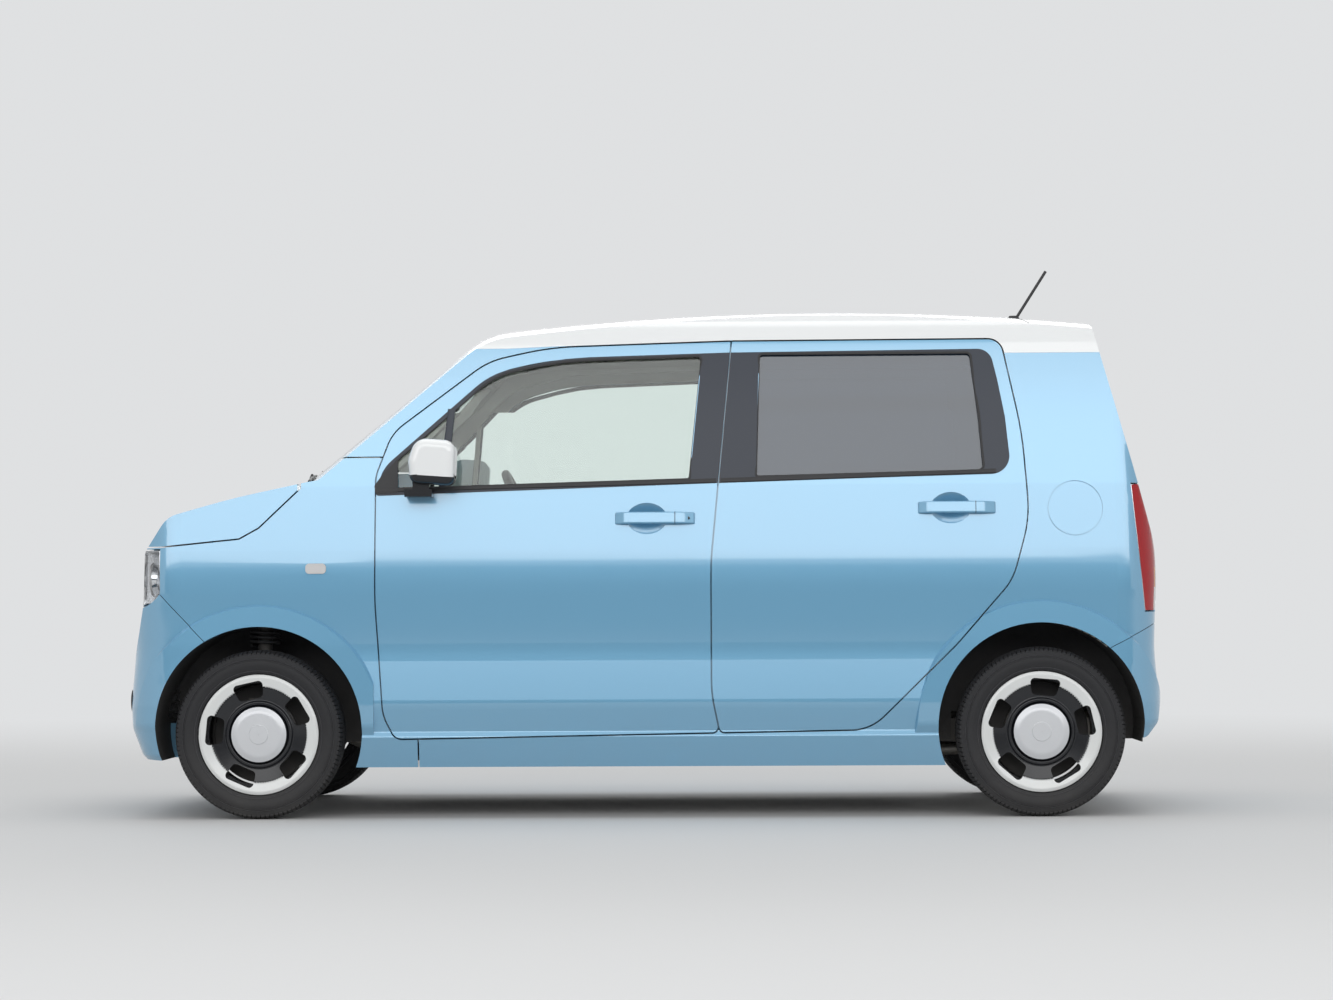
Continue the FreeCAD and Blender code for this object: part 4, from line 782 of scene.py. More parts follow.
# Tread blocks of one pitch: from and to across the crown, slant, gap to the next, shift round the tyre
BLOCKS = [
    (-0.012, 0.012, 0.010, 0.0030, 0.00),
    (0.0165, 0.036, 0.014, 0.0035, 0.35),
    (-0.0165, -0.036, 0.014, 0.0035, 0.65),
    (0.0405, 0.0665, 0.004, 0.0030, 0.15),
    (-0.0405, -0.0665, 0.004, 0.0030, 0.45),
]
CARCASS = [
    (-0.0570, 0.1785, 0.0),
    (-0.0570, 0.1950, 0.0),
    (-0.0680, 0.1980, 0.006),
    (-0.0762, 0.2280, 0.030),
    (-0.0668, 0.2600, 0.008),
    (-0.0440, GROOVE_FLOOR, 0.040),
    (0.0440, GROOVE_FLOOR, 0.040),
    (0.0668, 0.2600, 0.008),
    (0.0762, 0.2280, 0.030),
    (0.0680, 0.1980, 0.006),
    (0.0570, 0.1950, 0.0),
    (0.0570, 0.1785, 0.0),
]
# Raised lines on the tyre's side: radius, half width, height
SIDE_LINES = [(0.2450, 0.0012, 0.0008), (0.2405, 0.0006, 0.0005), (0.2060, 0.0016, 0.0010)]
LINE_SUNK = 0.001
SHIELD_Y = 0.6005
# Turned forms: radius, height
SHIELD_ROWS = [(0.040, 0.0), (0.158, 0.0), (0.160, 0.012), (0.1585, 0.012), (0.1565, 0.0015),
               (0.040, 0.0015)]
DISC_ROWS = [(0.060, -0.010), (0.116, -0.010), (0.116, 0.004), (0.064, 0.004), (0.060, 0.012)]


def tread_seed(tree, middle):
    """One pitch of tread blocks about the Y axis, their tops on the CAD tyre's crown."""
    bm = bmesh.new()
    pitch = 2 * math.pi / PITCHES

    def crown(y):
        return hit(tree, middle + Vector((0, y, 0.4)), (0, 0, -1)).z - middle.z - 0.0002

    for y0, y1, slant, gap, shift in BLOCKS:
        cuts = 3 if abs(y1) > SHOULDER_FROM else 1
        parts = 2 if cuts == 3 else 1
        for part in range(parts):
            length = pitch / parts
            a0 = shift * pitch + part * length
            a1 = a0 + length - gap / GROOVE_FLOOR
            grid = []
            for i in range(cuts + 1):
                y = y0 + (y1 - y0) * i / cuts
                lean = slant / GROOVE_FLOOR * i / cuts
                top = crown(y)
                row = []
                for a in (a0 + lean, (a0 + a1) / 2 + lean, a1 + lean):
                    way = Vector((math.sin(a), 0, math.cos(a)))
                    across = Vector((0, y, 0))
                    row.append([bm.verts.new(way * r + across) for r in (top, top - TREAD_DEPTH)])
                grid.append(row)
            for i in range(cuts):
                one = grid[i]
                two = grid[i + 1]
                for j in range(2):
                    bm.faces.new([one[j][0], two[j][0], two[j + 1][0], one[j + 1][0]])
                    bm.faces.new([one[j][1], one[j + 1][1], two[j + 1][1], two[j][1]])
                for j in (0, 2):
                    bm.faces.new([one[j][0], one[j][1], two[j][1], two[j][0]])
            for row in (grid[0], grid[-1]):
                for j in range(2):
                    bm.faces.new([row[j][0], row[j + 1][0], row[j + 1][1], row[j][1]])
    bmesh.ops.recalc_face_normals(bm, faces=bm.faces)
    return bm


class KEICAR_OT_tyres(bpy.types.Operator):
    """Tyres with tread blocks, side lines and brake discs"""
    bl_idname = "keicar.tyres"
    bl_label = "Tyres"

    def execute(self, context):
        tree = tree_of("tyre_front_left")
        for end, x in AXLES:
            middle = Vector((x, WHEEL_Y, WHEEL_Z))
            for side, sign in SIDES:
                body = "wheel_" + end + "_" + side
                placing = aim(middle, (0, 1, 0))
                bm = bmesh.new()
                add_lathe(bm, [(p.y, p.x) for p in outline(CARCASS)], placing, TYRE_STEPS)
                carcass = finish_solid("tyre_body_" + end + "_" + side, body, bm, "Tyre rubber", sign)
                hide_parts("tyre_" + end + "_" + side)
                bm = bmesh.new()
                for radius, half, height in SIDE_LINES:
                    for way in (1, -1):
                        start = AXLE_FRONT + Vector((radius, way * 0.2, 0))
                        y = hit(tree, start, (0, -way, 0)).y - WHEEL_Y
                        foot = y - way * LINE_SUNK
                        top = y + way * height
                        rows = [(radius - half, foot), (radius - half / 2, top), (radius + half / 2, top),
                                (radius + half, foot)]
                        add_lathe(bm, rows, placing, TYRE_STEPS)
                finish_solid("tyre_lines_" + end + "_" + side, body, bm, "Tyre line", sign)
                seed = tread_seed(tree, AXLE_FRONT)
                values = {"Copies": PITCHES, "Centre": middle, "Step angle": 2 * math.pi / PITCHES}
                name = "tread_" + end + "_" + side
                grown("Turned array", name, body, seed, "Tyre rubber", values, sign)
                bm = bmesh.new()
                add_lathe(bm, SHIELD_ROWS, aim((x, SHIELD_Y, WHEEL_Z), (0, 1, 0)), 64)
                holder = "knuckle_" + side if end == "front" else "root"
                finish_solid("brake_shield_" + end + "_" + side, holder, bm, "Underbody black", sign)
                if end == "front":
                    bm = bmesh.new()
                    add_lathe(bm, DISC_ROWS, aim((x, WHEEL_Y - 0.004, WHEEL_Z), (0, 1, 0)), 96)
                    finish_solid("brake_disc_" + side, body, bm, "Brushed disc", sign)
        return {"FINISHED"}


HANDLE_SPLITS = (("front", -0.105), ("rear", -1.072))
HALF_SPLIT = 0.0009
GARNISH_PROUD = 0.0042
GARNISH_THICK = 0.0036
KEYHOLE = (-0.148, 0.963)
LOCK_ROWS = [(0.0, 0.0006), (0.0042, 0.0006), (0.0052, 0.0001), (0.0052, -0.001), (0.0, -0.001)]
MIRROR_PANE = [(0.772, 1.097, 0.010), (0.830, 1.097, 0.024), (0.827, 1.190, 0.026), (0.772, 1.190, 0.010)]
GARNISH = [
    (0.862, 1.047, 0.004),
    (0.790, 1.050, 0.004),
    (0.790, 1.160, 0.004),
    (0.832, 1.120, 0.010),
    (0.866, 1.074, 0.010),
]


class KEICAR_OT_door_details(bpy.types.Operator):
    """Split lines and lock on the pulls, corner garnishes and mirror glasses"""
    bl_idname = "keicar.door_details"
    bl_label = "Door details"

    def execute(self, context):
        for side, sign in SIDES:
            for end, x in HANDLE_SPLITS:
                bm = slice_of(end + "_handle_left", x - HALF_SPLIT, x + HALF_SPLIT, 0.0003)
                name = end + "_handle_split_" + side
                finish_piece(name, end + "_door_" + side, bm, "Window rubber", sign)
            x, z = KEYHOLE
            face = hit(tree_of("front_handle_left"), (x, 0.9, z), (0, -1, 0))
            bm = bmesh.new()
            add_lathe(bm, LOCK_ROWS, aim(face, (0, 1, 0)), 32)
            finish_piece("lock_" + side, "front_door_" + side, bm, "Gloss black", sign)
            bm = skin_panel(outline(GARNISH), GARNISH_PROUD, GARNISH_THICK)
            finish_piece("garnish_" + side, "front_door_" + side, bm, "Black plastic", sign)
            tree = tree_of("mirror_left")
            bm = bmesh.new()
            low, high = (hit(tree, (0.5, 0.800, z), (1, 0, 0)) for z in (1.110, 1.175))
            lean = (high.x - low.x) / (high.z - low.z)

            def plane(p, out):
                return Vector((low.x + lean * (p.y - low.z) - out, p.x, p.y))
            add_slab(bm, outline(MIRROR_PANE), lambda p: plane(p, 0.0002), lambda p: plane(p, 0.0022))
            finish_solid("mirror_glass_" + side, "front_door_" + side, bm, "Mirror silver", sign)
        return {"FINISHED"}


def lamp_shell(node, outward):
    """A lamp's outer skin and its other walls, each as a thin closed shell."""
    skin = part_of(node, outward)
    walls = part_of(node, lambda c, n: not outward(c, n))
    for bm, thickness in ((skin, 0.0025), (walls, 0.0015)):
        bmesh.ops.solidify(bm, geom=bm.faces[:], thickness=thickness)
        bmesh.ops.recalc_face_normals(bm, faces=bm.faces)
    return skin, walls


def headlamp_skin(centre, normal):
    return normal.x > -0.9 and abs(normal.z) < 0.8 and (normal.x > 0.25 or normal.y * centre.y > 0)


def tail_lamp_skin(centre, normal):
    return abs(normal.z) < 0.8 and (normal.x < -0.25 or normal.y * centre.y > 0.3) and normal.x < 0.8


BOWL = [(0.0, 0.000), (0.030, 0.003), (0.043, 0.014), (0.049, 0.034), (0.051, 0.034), (0.045, 0.012),
        (0.030, 0.000)]
BALL = [(0.0, 0.030), (0.010, 0.029), (0.018, 0.024), (0.023, 0.014), (0.024, 0.004), (0.0, 0.004)]
RING = [(0.047, 0.034), (0.051, 0.038), (0.055, 0.034), (0.051, 0.030)]
HEADLAMP_BOWLS = ((1.563, 0.500, 0.768), (1.563, 0.618, 0.775))
FOG_AT = (1.6602, 0.560, 0.378)
FOG_BEZEL = [(0.026, 0.0), (0.0405, 0.0), (0.0405, 0.010), (0.037, 0.013), (0.030, 0.009), (0.026, 0.003)]
FOG_LENS = [(0.0, 0.0), (0.0255, 0.0), (0.0255, 0.003), (0.014, 0.006), (0.0, 0.007)]
# Turned pieces in the front lamps: name, places, forms, material, slot
LAMP_PARTS = (
    ("headlamp_bowls_", HEADLAMP_BOWLS, (BOWL,), "Bright metal", "alloy"),
    ("headlamp_bulbs_", HEADLAMP_BOWLS, (BALL, RING), "Milky lens", "clear_lens"),
    ("fog_bezel_", (FOG_AT,), (FOG_BEZEL,), "Black plastic", "plastic"),
    ("fog_lens_", (FOG_AT,), (FOG_LENS,), "Milky lens", "clear_lens"),
)
TAIL_PARTS = (0.735, 0.800)
TAIL_RED_FROM = 0.640
REFLECTOR = ((0.500, 0.349), (0.580, 0.349), (0.580, 0.371), (0.500, 0.371))


class KEICAR_OT_lamps(bpy.types.Operator):
    """Head, fog and tail lamps with their insides, the high stop lamp and the reflectors"""
    bl_idname = "keicar.lamps"
    bl_label = "Lamps"

    def execute(self, context):
        skin, walls = lamp_shell("headlamps", headlamp_skin)
        lens = finish_piece("headlamp_lenses", "root", skin, "Clear lens")
        finish_piece("headlamp_housings", "root", walls, "Lamp housing")
        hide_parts("headlamps")
        skin, walls = lamp_shell("tail_lamps", tail_lamp_skin)
        for level in TAIL_PARTS:
            cut_level(skin, (0, 0, level), (0, 0, 1))
        for place in (TAIL_RED_FROM, -TAIL_RED_FROM):
            cut_level(skin, (0, place, 0), (0, 1, 0))
        for face in skin.faces:
            centre = face.calc_center_median()
            if abs(centre.y) < TAIL_RED_FROM and centre.z < TAIL_PARTS[1]:
                face.material_index = 1 if centre.z < TAIL_PARTS[0] else 2
        lens_materials = ("Red lens", "Milky lens", "Amber lens")
        lens = finish_piece("tail_lamp_lenses", "root", skin, lens_materials)
        finish_piece("tail_lamp_housings", "root", walls, "Lamp housing")
        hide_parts("tail_lamps")
        gate = tree_of("tailgate", "tailgate_glass")
        bumper = tree_of("rear_bumper")
        for side, sign in SIDES:
            for name, places, forms, material, slot in LAMP_PARTS:
                bm = bmesh.new()
                for at in places:
                    for rows in forms:
                        add_lathe(bm, rows, aim(at, (1, 0, 0)))
                finish_solid(name + side, "root", bm, material, sign)
            bm = bmesh.new()

            def on_bumper(p, out):
                return from_behind(bumper, p.x, p.y) - Vector((out, 0.0, 0.0))
            rows = [(y, z, 0.005) for y, z in REFLECTOR]
            add_slab(bm, outline(rows), lambda p: on_bumper(p, -0.004), lambda p: on_bumper(p, 0.003))
            finish_solid("reflector_" + side, "root", bm, "Red lens", sign)
        glass = from_behind(gate, 0.0, 1.446)
        bm = bmesh.new()
        add_block(bm, (glass.x + 0.012, -0.115, 1.438), (glass.x + 0.034, 0.115, 1.456), 0.003)
        finish_piece("high_stop_lamp", "tailgate", bm, "Red lens")
        return {"FINISHED"}


PLATE_HALF = (0.165, 0.0825)
PLATE_THICK = 0.0012
# Plates: name, body, place along the car, way out, height of the middle and of the screws
PLATES = (("front", "root", 1.6977, 1, 0.530, 0.590), ("rear", "tailgate", -1.6722, -1, 0.7785, 0.800))
SCREW_Y = 0.105
SCREW_ROWS = [(0.0, 0.0030), (0.0050, 0.0030), (0.0064, 0.0018), (0.0064, 0.0), (0.0, 0.0)]
# Front wipers: the blade's two ends and the pivot, as seen from above
WIPERS = (
    ((1.118, -0.470), (1.098, 0.110), (1.150, -0.520)),
    ((1.116, 0.130), (1.096, 0.520), (1.150, 0.080)),
)
WIPER_BOSS = [(0.0, 0.007), (0.009, 0.006), (0.012, 0.002), (0.012, -0.010), (0.0, -0.010)]
REAR_WIPER_BOSS = [(0.0, 0.016), (0.014, 0.014), (0.020, 0.004), (0.020, -0.012), (0.0, -0.012)]
LOUVRES = 54
LOUVRE_STEP = 0.02


class KEICAR_OT_fittings(bpy.types.Operator):
    """Blank plates, wipers, the tailgate's pull and the cowl's louvres"""
    bl_idname = "keicar.fittings"
    bl_label = "Plates, wipers and louvres"

    def execute(self, context):
        for name, body, x, way, z, hole_z in PLATES:
            bm = bmesh.new()
            wide, high = PLATE_HALF
            corners = ((-wide, -high), (wide, -high), (wide, high), (-wide, high))
            points = outline([(y, z + up, 0.008) for y, up in corners])
            face_x = x + way * PLATE_THICK
            add_slab(bm, points, lambda p: Vector((x, p.x, p.y)), lambda p: Vector((face_x, p.x, p.y)))
            finish_solid("plate_" + name, body, bm, "Plate white")
            bm = bmesh.new()
            for y in (SCREW_Y, -SCREW_Y):
                add_lathe(bm, SCREW_ROWS, aim((face_x, y, hole_z), (way, 0, 0)), 24)
            finish_solid("plate_screws_" + name, body, bm, "Bright metal")

        screen = tree_of("windscreen", "cowl")
        for index, (start, finish_at, pivot) in enumerate(WIPERS):
            blade = []
            for part in range(SPANS + 1):
                x, y = Vector(start).lerp(Vector(finish_at), part / SPANS)
                blade.append(from_above(screen, x, y) + Vector((0.003, 0, 0.005)))
            bm = bmesh.new()
            add_bar(bm, blade, 0.0055, 8)
            knee = blade[6] + Vector((0.004, 0, 0.006))
            foot = from_above(screen, *pivot) + Vector((0, 0, 0.004))
            add_bar(bm, [foot, foot.lerp(knee, 0.6) + Vector((0.002, 0, 0.002)), knee], 0.0050, 8)
            add_lathe(bm, WIPER_BOSS, aim(foot, (0.3, 0, 0.95)), 24)
            finish_solid("wiper_%d" % (index + 1), "root", bm, "Black plastic")

        gate = tree_of("tailgate", "tailgate_glass")
        out = Vector((-0.008, 0, 0))
        blade = []
        for part in range(9):
            y = 0.02 + 0.33 * part / 8
            blade.append(from_behind(gate, y, 1.158) + out)
        foot = from_behind(gate, 0.0, 1.118) + out
        bm = bmesh.new()
        add_bar(bm, blade, 0.0050, 8)
        add_bar(bm, [foot, foot.lerp(blade[4], 0.4) + out, blade[4] + Vector((-0.006, 0, 0))], 0.0065, 8)
        add_lathe(bm, REAR_WIPER_BOSS, aim(foot, (-1, 0, 0.1)), 32)
        finish_solid("rear_wiper", "tailgate", bm, "Black plastic")

        face = from_behind(gate, 0.0, 0.885)
        bm = bmesh.new()
        add_block(bm, (face.x - 0.009, -0.130, 0.872), (face.x + 0.004, 0.130, 0.896), 0.004)
        finish_piece("gate_pull", "tailgate", bm, "Black plastic")

        seed = bmesh.new()
        add_block(seed, (-0.014, -0.003, -0.002), (0.014, 0.003, 0.0025), 0.001, 1)
        level = from_above(tree_of("cowl"), 1.132, 0.3).z
        values = {"Copies": LOUVRES, "Start": (1.132, -0.53, level), "Step": (0, LOUVRE_STEP, 0)}
        grown("Row array", "cowl_louvres", "root", seed, "Window rubber", values)
        return {"FINISHED"}


SEAT_Y = 0.330
SEAT_LEAN = math.radians(-11)
# Pads: name, low and high corner of the starting block, turn about Y, place, cap on the swelling
FRONT_PADS = (
    ("cushion", (-0.225, -0.225, -0.046), (0.225, 0.225, 0.046), math.radians(-4),
     (0.040, SEAT_Y, 0.436), 0.012),
    ("back", (-0.038, -0.215, -0.265), (0.038, 0.215, 0.265), SEAT_LEAN,
     (-0.228, SEAT_Y, 0.730), 0.014),
    ("headrest", (-0.028, -0.100, -0.070), (0.028, 0.100, 0.070), SEAT_LEAN / 2,
     (-0.268, SEAT_Y, 1.092), 0.010),
)
REAR_PADS = (
    ("cushion", (-0.150, -0.275, -0.050), (0.150, 0.275, 0.050), math.radians(-5),
     (-0.670, 0.293, 0.430), 0.012),
    ("back", (-0.034, -0.275, -0.245), (0.034, 0.275, 0.245), math.radians(-11),
     (-0.888, 0.293, 0.735), 0.012),
)
VOXEL = 0.006
PAD_PRESSURE = 4.0
PAD_FRAMES = 20
# Sewn channels: places across the pad, depth and half width
CHANNELS = (-0.115, 0.115)
CHANNEL_DEPTH = 0.007
CHANNEL_WIDTH = 0.010
# Blocks under a front seat: low and high in x, in y from the seat's middle and in z, edge radius
BASE_BLOCKS = (
    (-0.140, 0.220, -0.200, 0.200, 0.2120, 0.360, 0.015),
    (-0.190, 0.235, -0.215, 0.215, 0.362, 0.392, 0.010),
    (-0.170, 0.150, 0.218, 0.240, 0.340, 0.420, 0.009),
)


def evaluated_mesh(obj):
    graph = bpy.context.evaluated_depsgraph_get()
    return bpy.data.meshes.new_from_object(obj.evaluated_get(graph))


def blown_pad(name, low, high, turn, at, cap):
    """A padded form swollen from a rounded block by a cloth simulation, as a bmesh."""
    scene = bpy.context.scene
    bm = bmesh.new()
    add_block(bm, low, high, 0.024, 4)
    mesh = bpy.data.meshes.new(name)
    bm.to_mesh(mesh)
    bm.free()
    source = bpy.data.objects.new(name + "_form", mesh)
    scene.collection.objects.link(source)
    remesh = source.modifiers.new("Remesh", "REMESH")
    remesh.mode = "VOXEL"
    remesh.voxel_size = VOXEL
    fine = evaluated_mesh(source)
    source.modifiers.remove(remesh)
    source.data = fine
    rest = [vert.co.copy() for vert in fine.vertices]
    facing = [vert.normal.copy() for vert in fine.vertices]
    cloth = source.modifiers.new("Cloth", "CLOTH")
    cloth.settings.use_pressure = True
    cloth.settings.uniform_pressure_force = PAD_PRESSURE
    cloth.settings.effector_weights.gravity = 0.0
    cloth.settings.quality = 4
    for frame in range(1, PAD_FRAMES + 1):
        scene.frame_set(frame)
    swollen = evaluated_mesh(source)
    source.modifiers.remove(cloth)
    scene.frame_set(1)
    moves = [vert.co - start for vert, start in zip(swollen.vertices, rest)]
    bpy.data.meshes.remove(swollen)
    depth = min(range(3), key=lambda k: high[k] - low[k])
    for vert, start, move, normal in zip(fine.vertices, rest, moves, facing):
        if move.length > cap:
            move = move * (cap / move.length)
        if abs(normal[depth]) > 0.5 and name != "headrest":
            sink = sum(math.exp(-((start.y - place) / CHANNEL_WIDTH) ** 2) for place in CHANNELS)
            move[depth] -= math.copysign(CHANNEL_DEPTH * sink, normal[depth])
        vert.co = start + move
    placing = Matrix.Translation(at) @ Matrix.Rotation(turn, 4, "Y")
    fine.transform(placing)
    made = bmesh.new()
    made.from_mesh(fine)
    bmesh.ops.recalc_face_normals(made, faces=made.faces)
    bpy.data.objects.remove(source)
    return made


class KEICAR_OT_seats(bpy.types.Operator):
    """Padded seats blown up by cloth simulation, on their bases"""
    bl_idname = "keicar.seats"
    bl_label = "Seats"

    def execute(self, context):
        for row, pads, node in (("front", FRONT_PADS, "front_seats"), ("rear", REAR_PADS, "rear_seat")):
            for name, *form in pads:
                bm = blown_pad(name, *form)
                for side, sign in SIDES:
                    whole = row + "_seat_" + name + "_" + side
                    pad = finish_piece(whole, "root", bm.copy(), "Seat fabric", sign)
                    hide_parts(node)
                bm.free()
        for side, sign in SIDES:
            bm = bmesh.new()
            for x0, x1, y0, y1, z0, z1, radius in BASE_BLOCKS:
                add_block(bm, (x0, SEAT_Y + y0, z0), (x1, SEAT_Y + y1, z1), radius)
            for y in (SEAT_Y - 0.055, SEAT_Y + 0.055):
                add_bar(bm, [(-0.275, y, 0.960), (-0.272, y, 1.050)], 0.006)
            add_block(bm, (-0.835, 0.020, 0.3180), (-0.530, 0.585, 0.372), 0.015)
            finish_solid("seat_bases_" + side, "root", bm, DARK, sign)
        return {"FINISHED"}


DASH_SLOPE = ((0.5205, 0.868), (0.5965, 0.980))
VENT_PLACES = (0.515, 0.165, -0.115, -0.545)
SLATS = 6
PEDAL_PLACES = (-0.290, -0.390)
ARMREST_PLACES = (("front", 0.250), ("rear", -0.700))
COLUMN_TILT = math.radians(25)
WHEEL_PAD_ROWS = [(0.0, 0.046), (0.030, 0.045), (0.056, 0.038), (0.070, 0.022), (0.072, 0.004), (0.0, 0.004)]
VISOR = [(0.560, 1.488, 0.006), (0.430, 1.520, 0.006), (0.433, 1.532, 0.006), (0.563, 1.500, 0.006)]


class KEICAR_OT_cabin(bpy.types.Operator):
    """Dashboard details, mirror, visors, door trim, pedals and the wheel's pad"""
    bl_idname = "keicar.cabin"
    bl_label = "Cabin details"

    def execute(self, context):
        low, high = (Vector(p) for p in DASH_SLOPE)
        along = (high - low).normalized()
        out = Vector((-along.y, along.x))

        def on_dash(part, proud, y):
            at = low.lerp(high, part) + out * proud
            return Vector((at.x, y, at.y))

        def dash_panel(bm, y0, y1, part0, part1, proud, round_by):
            span = (high - low).length
            corners = ((y0, part0), (y1, part0), (y1, part1), (y0, part1))
            points = outline([(y, part * span, round_by) for y, part in corners])
            add_slab(bm, points, lambda p: on_dash(p.y / span, -0.004, p.x),
                     lambda p: on_dash(p.y / span, proud, p.x))
        bm = bmesh.new()
        add_block(bm, (0.600, -0.500, 0.975), (0.745, -0.180, 1.043), 0.028, 4)
        finish_solid("instrument_hood", "root", bm, DARK)
        bm = bmesh.new()
        add_block(bm, (0.597, -0.470, 0.988), (0.606, -0.210, 1.030), 0.004)
        dash_panel(bm, -0.060, 0.110, 0.10, 0.95, 0.010, 0.012)
        finish_solid("dash_screens", "root", bm, "Gloss black")
        bm = bmesh.new()
        dash_panel(bm, 0.215, 0.560, 0.12, 0.92, 0.006, 0.020)
        add_block(bm, (0.515, -0.150, 0.730), (0.560, 0.200, 0.850), 0.012)
        finish_solid("dash_trays", "root", bm, CREAM)
        for index, y in enumerate(VENT_PLACES):
            bm = bmesh.new()
            dash_panel(bm, y - 0.042, y + 0.042, 0.25, 0.85, 0.005, 0.012)
            finish_solid("vent_%d" % (index + 1), "root", bm, "Gloss black")
            seed = bmesh.new()
            add_block(seed, (-0.003, -0.036, -0.0012), (0.003, 0.036, 0.0012), 0.0008, 1)
            first = on_dash(0.34, 0.0055, y)
            step = (on_dash(0.76, 0.0055, y) - first) / (SLATS - 1)
            values = {"Copies": SLATS, "Start": first, "Step": step}
            grown("Row array", "vent_slats_%d" % (index + 1), "root", seed, DARK, values)
        bm = bmesh.new()
        add_bar(bm, [(0.540, -0.140, 0.800), (0.500, -0.140, 0.835)], 0.007, 12)
        made = bmesh.ops.create_uvsphere(bm, u_segments=24, v_segments=14, radius=0.021)["verts"]
        bmesh.ops.translate(bm, verts=made, vec=(0.495, -0.140, 0.840))
        for y in PEDAL_PLACES:
            add_block(bm, (0.668, y - 0.032, 0.300), (0.682, y + 0.032, 0.355), 0.005)
            add_bar(bm, [(0.684, y, 0.330), (0.740, y, 0.460), (0.765, y, 0.600)], 0.006)
        finish_solid("selector_and_pedals", "root", bm, DARK)

        low_corner, high_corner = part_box("steering_wheel")
        middle = (low_corner + high_corner) / 2
        toward = Vector((-math.cos(COLUMN_TILT), 0, math.sin(COLUMN_TILT)))
        bm = bmesh.new()
        add_lathe(bm, WHEEL_PAD_ROWS, aim(middle, toward))
        finish_solid("wheel_pad", "steering_wheel", bm, DARK)
        bm = bmesh.new()
        for way in (1, -1):
            start = middle - toward * 0.055 + Vector((0, way * 0.022, 0))
            add_bar(bm, [start, start + Vector((0, way * 0.120, 0)) + toward * 0.008], 0.006)
        finish_solid("column_stalks", "root", bm, DARK)

        bm = bmesh.new()
        add_block(bm, (0.652, -0.118, 1.372), (0.676, 0.118, 1.432), 0.011, 3)
        add_bar(bm, [(0.676, 0.0, 1.405), (0.700, 0.0, 1.430), (0.706, 0.0, 1.446)], 0.007)
        finish_solid("inner_mirror", "root", bm, DARK)
        bm = bmesh.new()
        add_block(bm, (0.6512, -0.108, 1.380), (0.6525, 0.108, 1.424), 0.0005, 1)
        finish_piece("inner_mirror_glass", "root", bm, "Mirror silver")
        for side, sign in SIDES:
            bm = bmesh.new()
            add_slab(bm, outline(VISOR), lambda p: Vector((p.x, 0.160, p.y)),
                     lambda p: Vector((p.x, 0.500, p.y)))
            finish_solid("visor_" + side, "root", bm, CREAM, sign)
            for end, middle_x in ARMREST_PLACES:
                face = hit(tree_of(end + "_door_left"), (middle_x, 0.0, 0.72), (0, 1, 0)).y
                back = face + 0.004
                bm = bmesh.new()
                rest = (middle_x - 0.240, face - 0.040, 0.660)
                add_block(bm, rest, (middle_x + 0.200, back, 0.705), 0.014, 3)
                catch = (middle_x + 0.060, face - 0.012, 0.790)
                add_block(bm, catch, (middle_x + 0.190, back, 0.830), 0.005)
                finish_solid(end + "_armrest_" + side, end + "_door_" + side, bm, DARK, sign)
        return {"FINISHED"}


# Springs: name, body, radius, height, wire, turns, foot
SPRINGS = (
    ("rear_spring", "root", 0.052, 0.098, 0.0060, 4.5, (-1.135, 0.290, 0.301)),
    ("front_spring", "knuckle", 0.046, 0.046, 0.0045, 3.0, (1.2405, 0.545, 0.558)),
)


class KEICAR_OT_springs(bpy.types.Operator):
    """Coil springs over the struts and on the beam"""
    bl_idname = "keicar.springs"
    bl_label = "Springs"

    def execute(self, context):
        for name, body, radius, height, wire, turns, foot in SPRINGS:
            for side, sign in SIDES:
                rides_on = body + "_" + side if body == "knuckle" else body
                values = {"Turns": turns, "Radius": radius, "Height": height, "Wire": wire, "Foot": foot}
                whole = name + "_" + side
                grown("Coil spring", whole, rides_on, None, "Underbody black", values, sign)
        return {"FINISHED"}


def look_along(yaw, pitch, roll):
    """A camera's turning, from a level view along -Y."""
    forward = Vector((math.sin(yaw) * math.cos(pitch), -math.cos(yaw) * math.cos(pitch), math.sin(pitch)))
    right = forward.cross(Vector((0, 0, 1))).normalized()
    up = right.cross(forward)
    turned_up = up * math.cos(roll) + right * math.sin(roll)
    turned_right = right * math.cos(roll) - up * math.sin(roll)
    return Matrix((turned_right, turned_up, -forward)).transposed().to_4x4()


def seen_rays(tree):
    """One where a ray comes from the camera, a gloss or a glass, else nought."""
    path = tree.nodes.new("ShaderNodeLightPath")
    first = math_node(tree, "MAXIMUM")
    second = math_node(tree, "MAXIMUM")
    join(tree, (path, "Is Camera Ray", first, 0), (path, "Is Glossy Ray", first, 1),
         (first, "Value", second, 0), (path, "Is Transmission Ray", second, 1))
    return second


def staged(name, bm, material):
    """An object of the stage from a bmesh."""
    mesh = bpy.data.meshes.new(name)
    bm.to_mesh(mesh)
    bm.free()
    mesh.materials.append(material)
    obj = bpy.data.objects.new(name, mesh)
    bpy.context.scene.collection.objects.link(obj)
    return obj


# Distances from the car between which the floor runs into the background
FLOOR_FADE = (2.6, 10.0)
# Soft panels: name, place, what they light, size, setting that holds their power
PANELS = (
    ("Near panel", (0.0, 8.6, 3.9), (0.0, 0.6, 0.9), (18.0, 4.2), "key_watts"),
    ("Top panel", (0.0, 0.0, 7.0), (0.0, 0.0, 1.0), (8.0, 5.0), "top_watts"),
    ("Far panel", (0.0, -8.6, 4.7), (0.0, -0.6, 0.9), (12.0, 3.0), "fill_watts"),
)


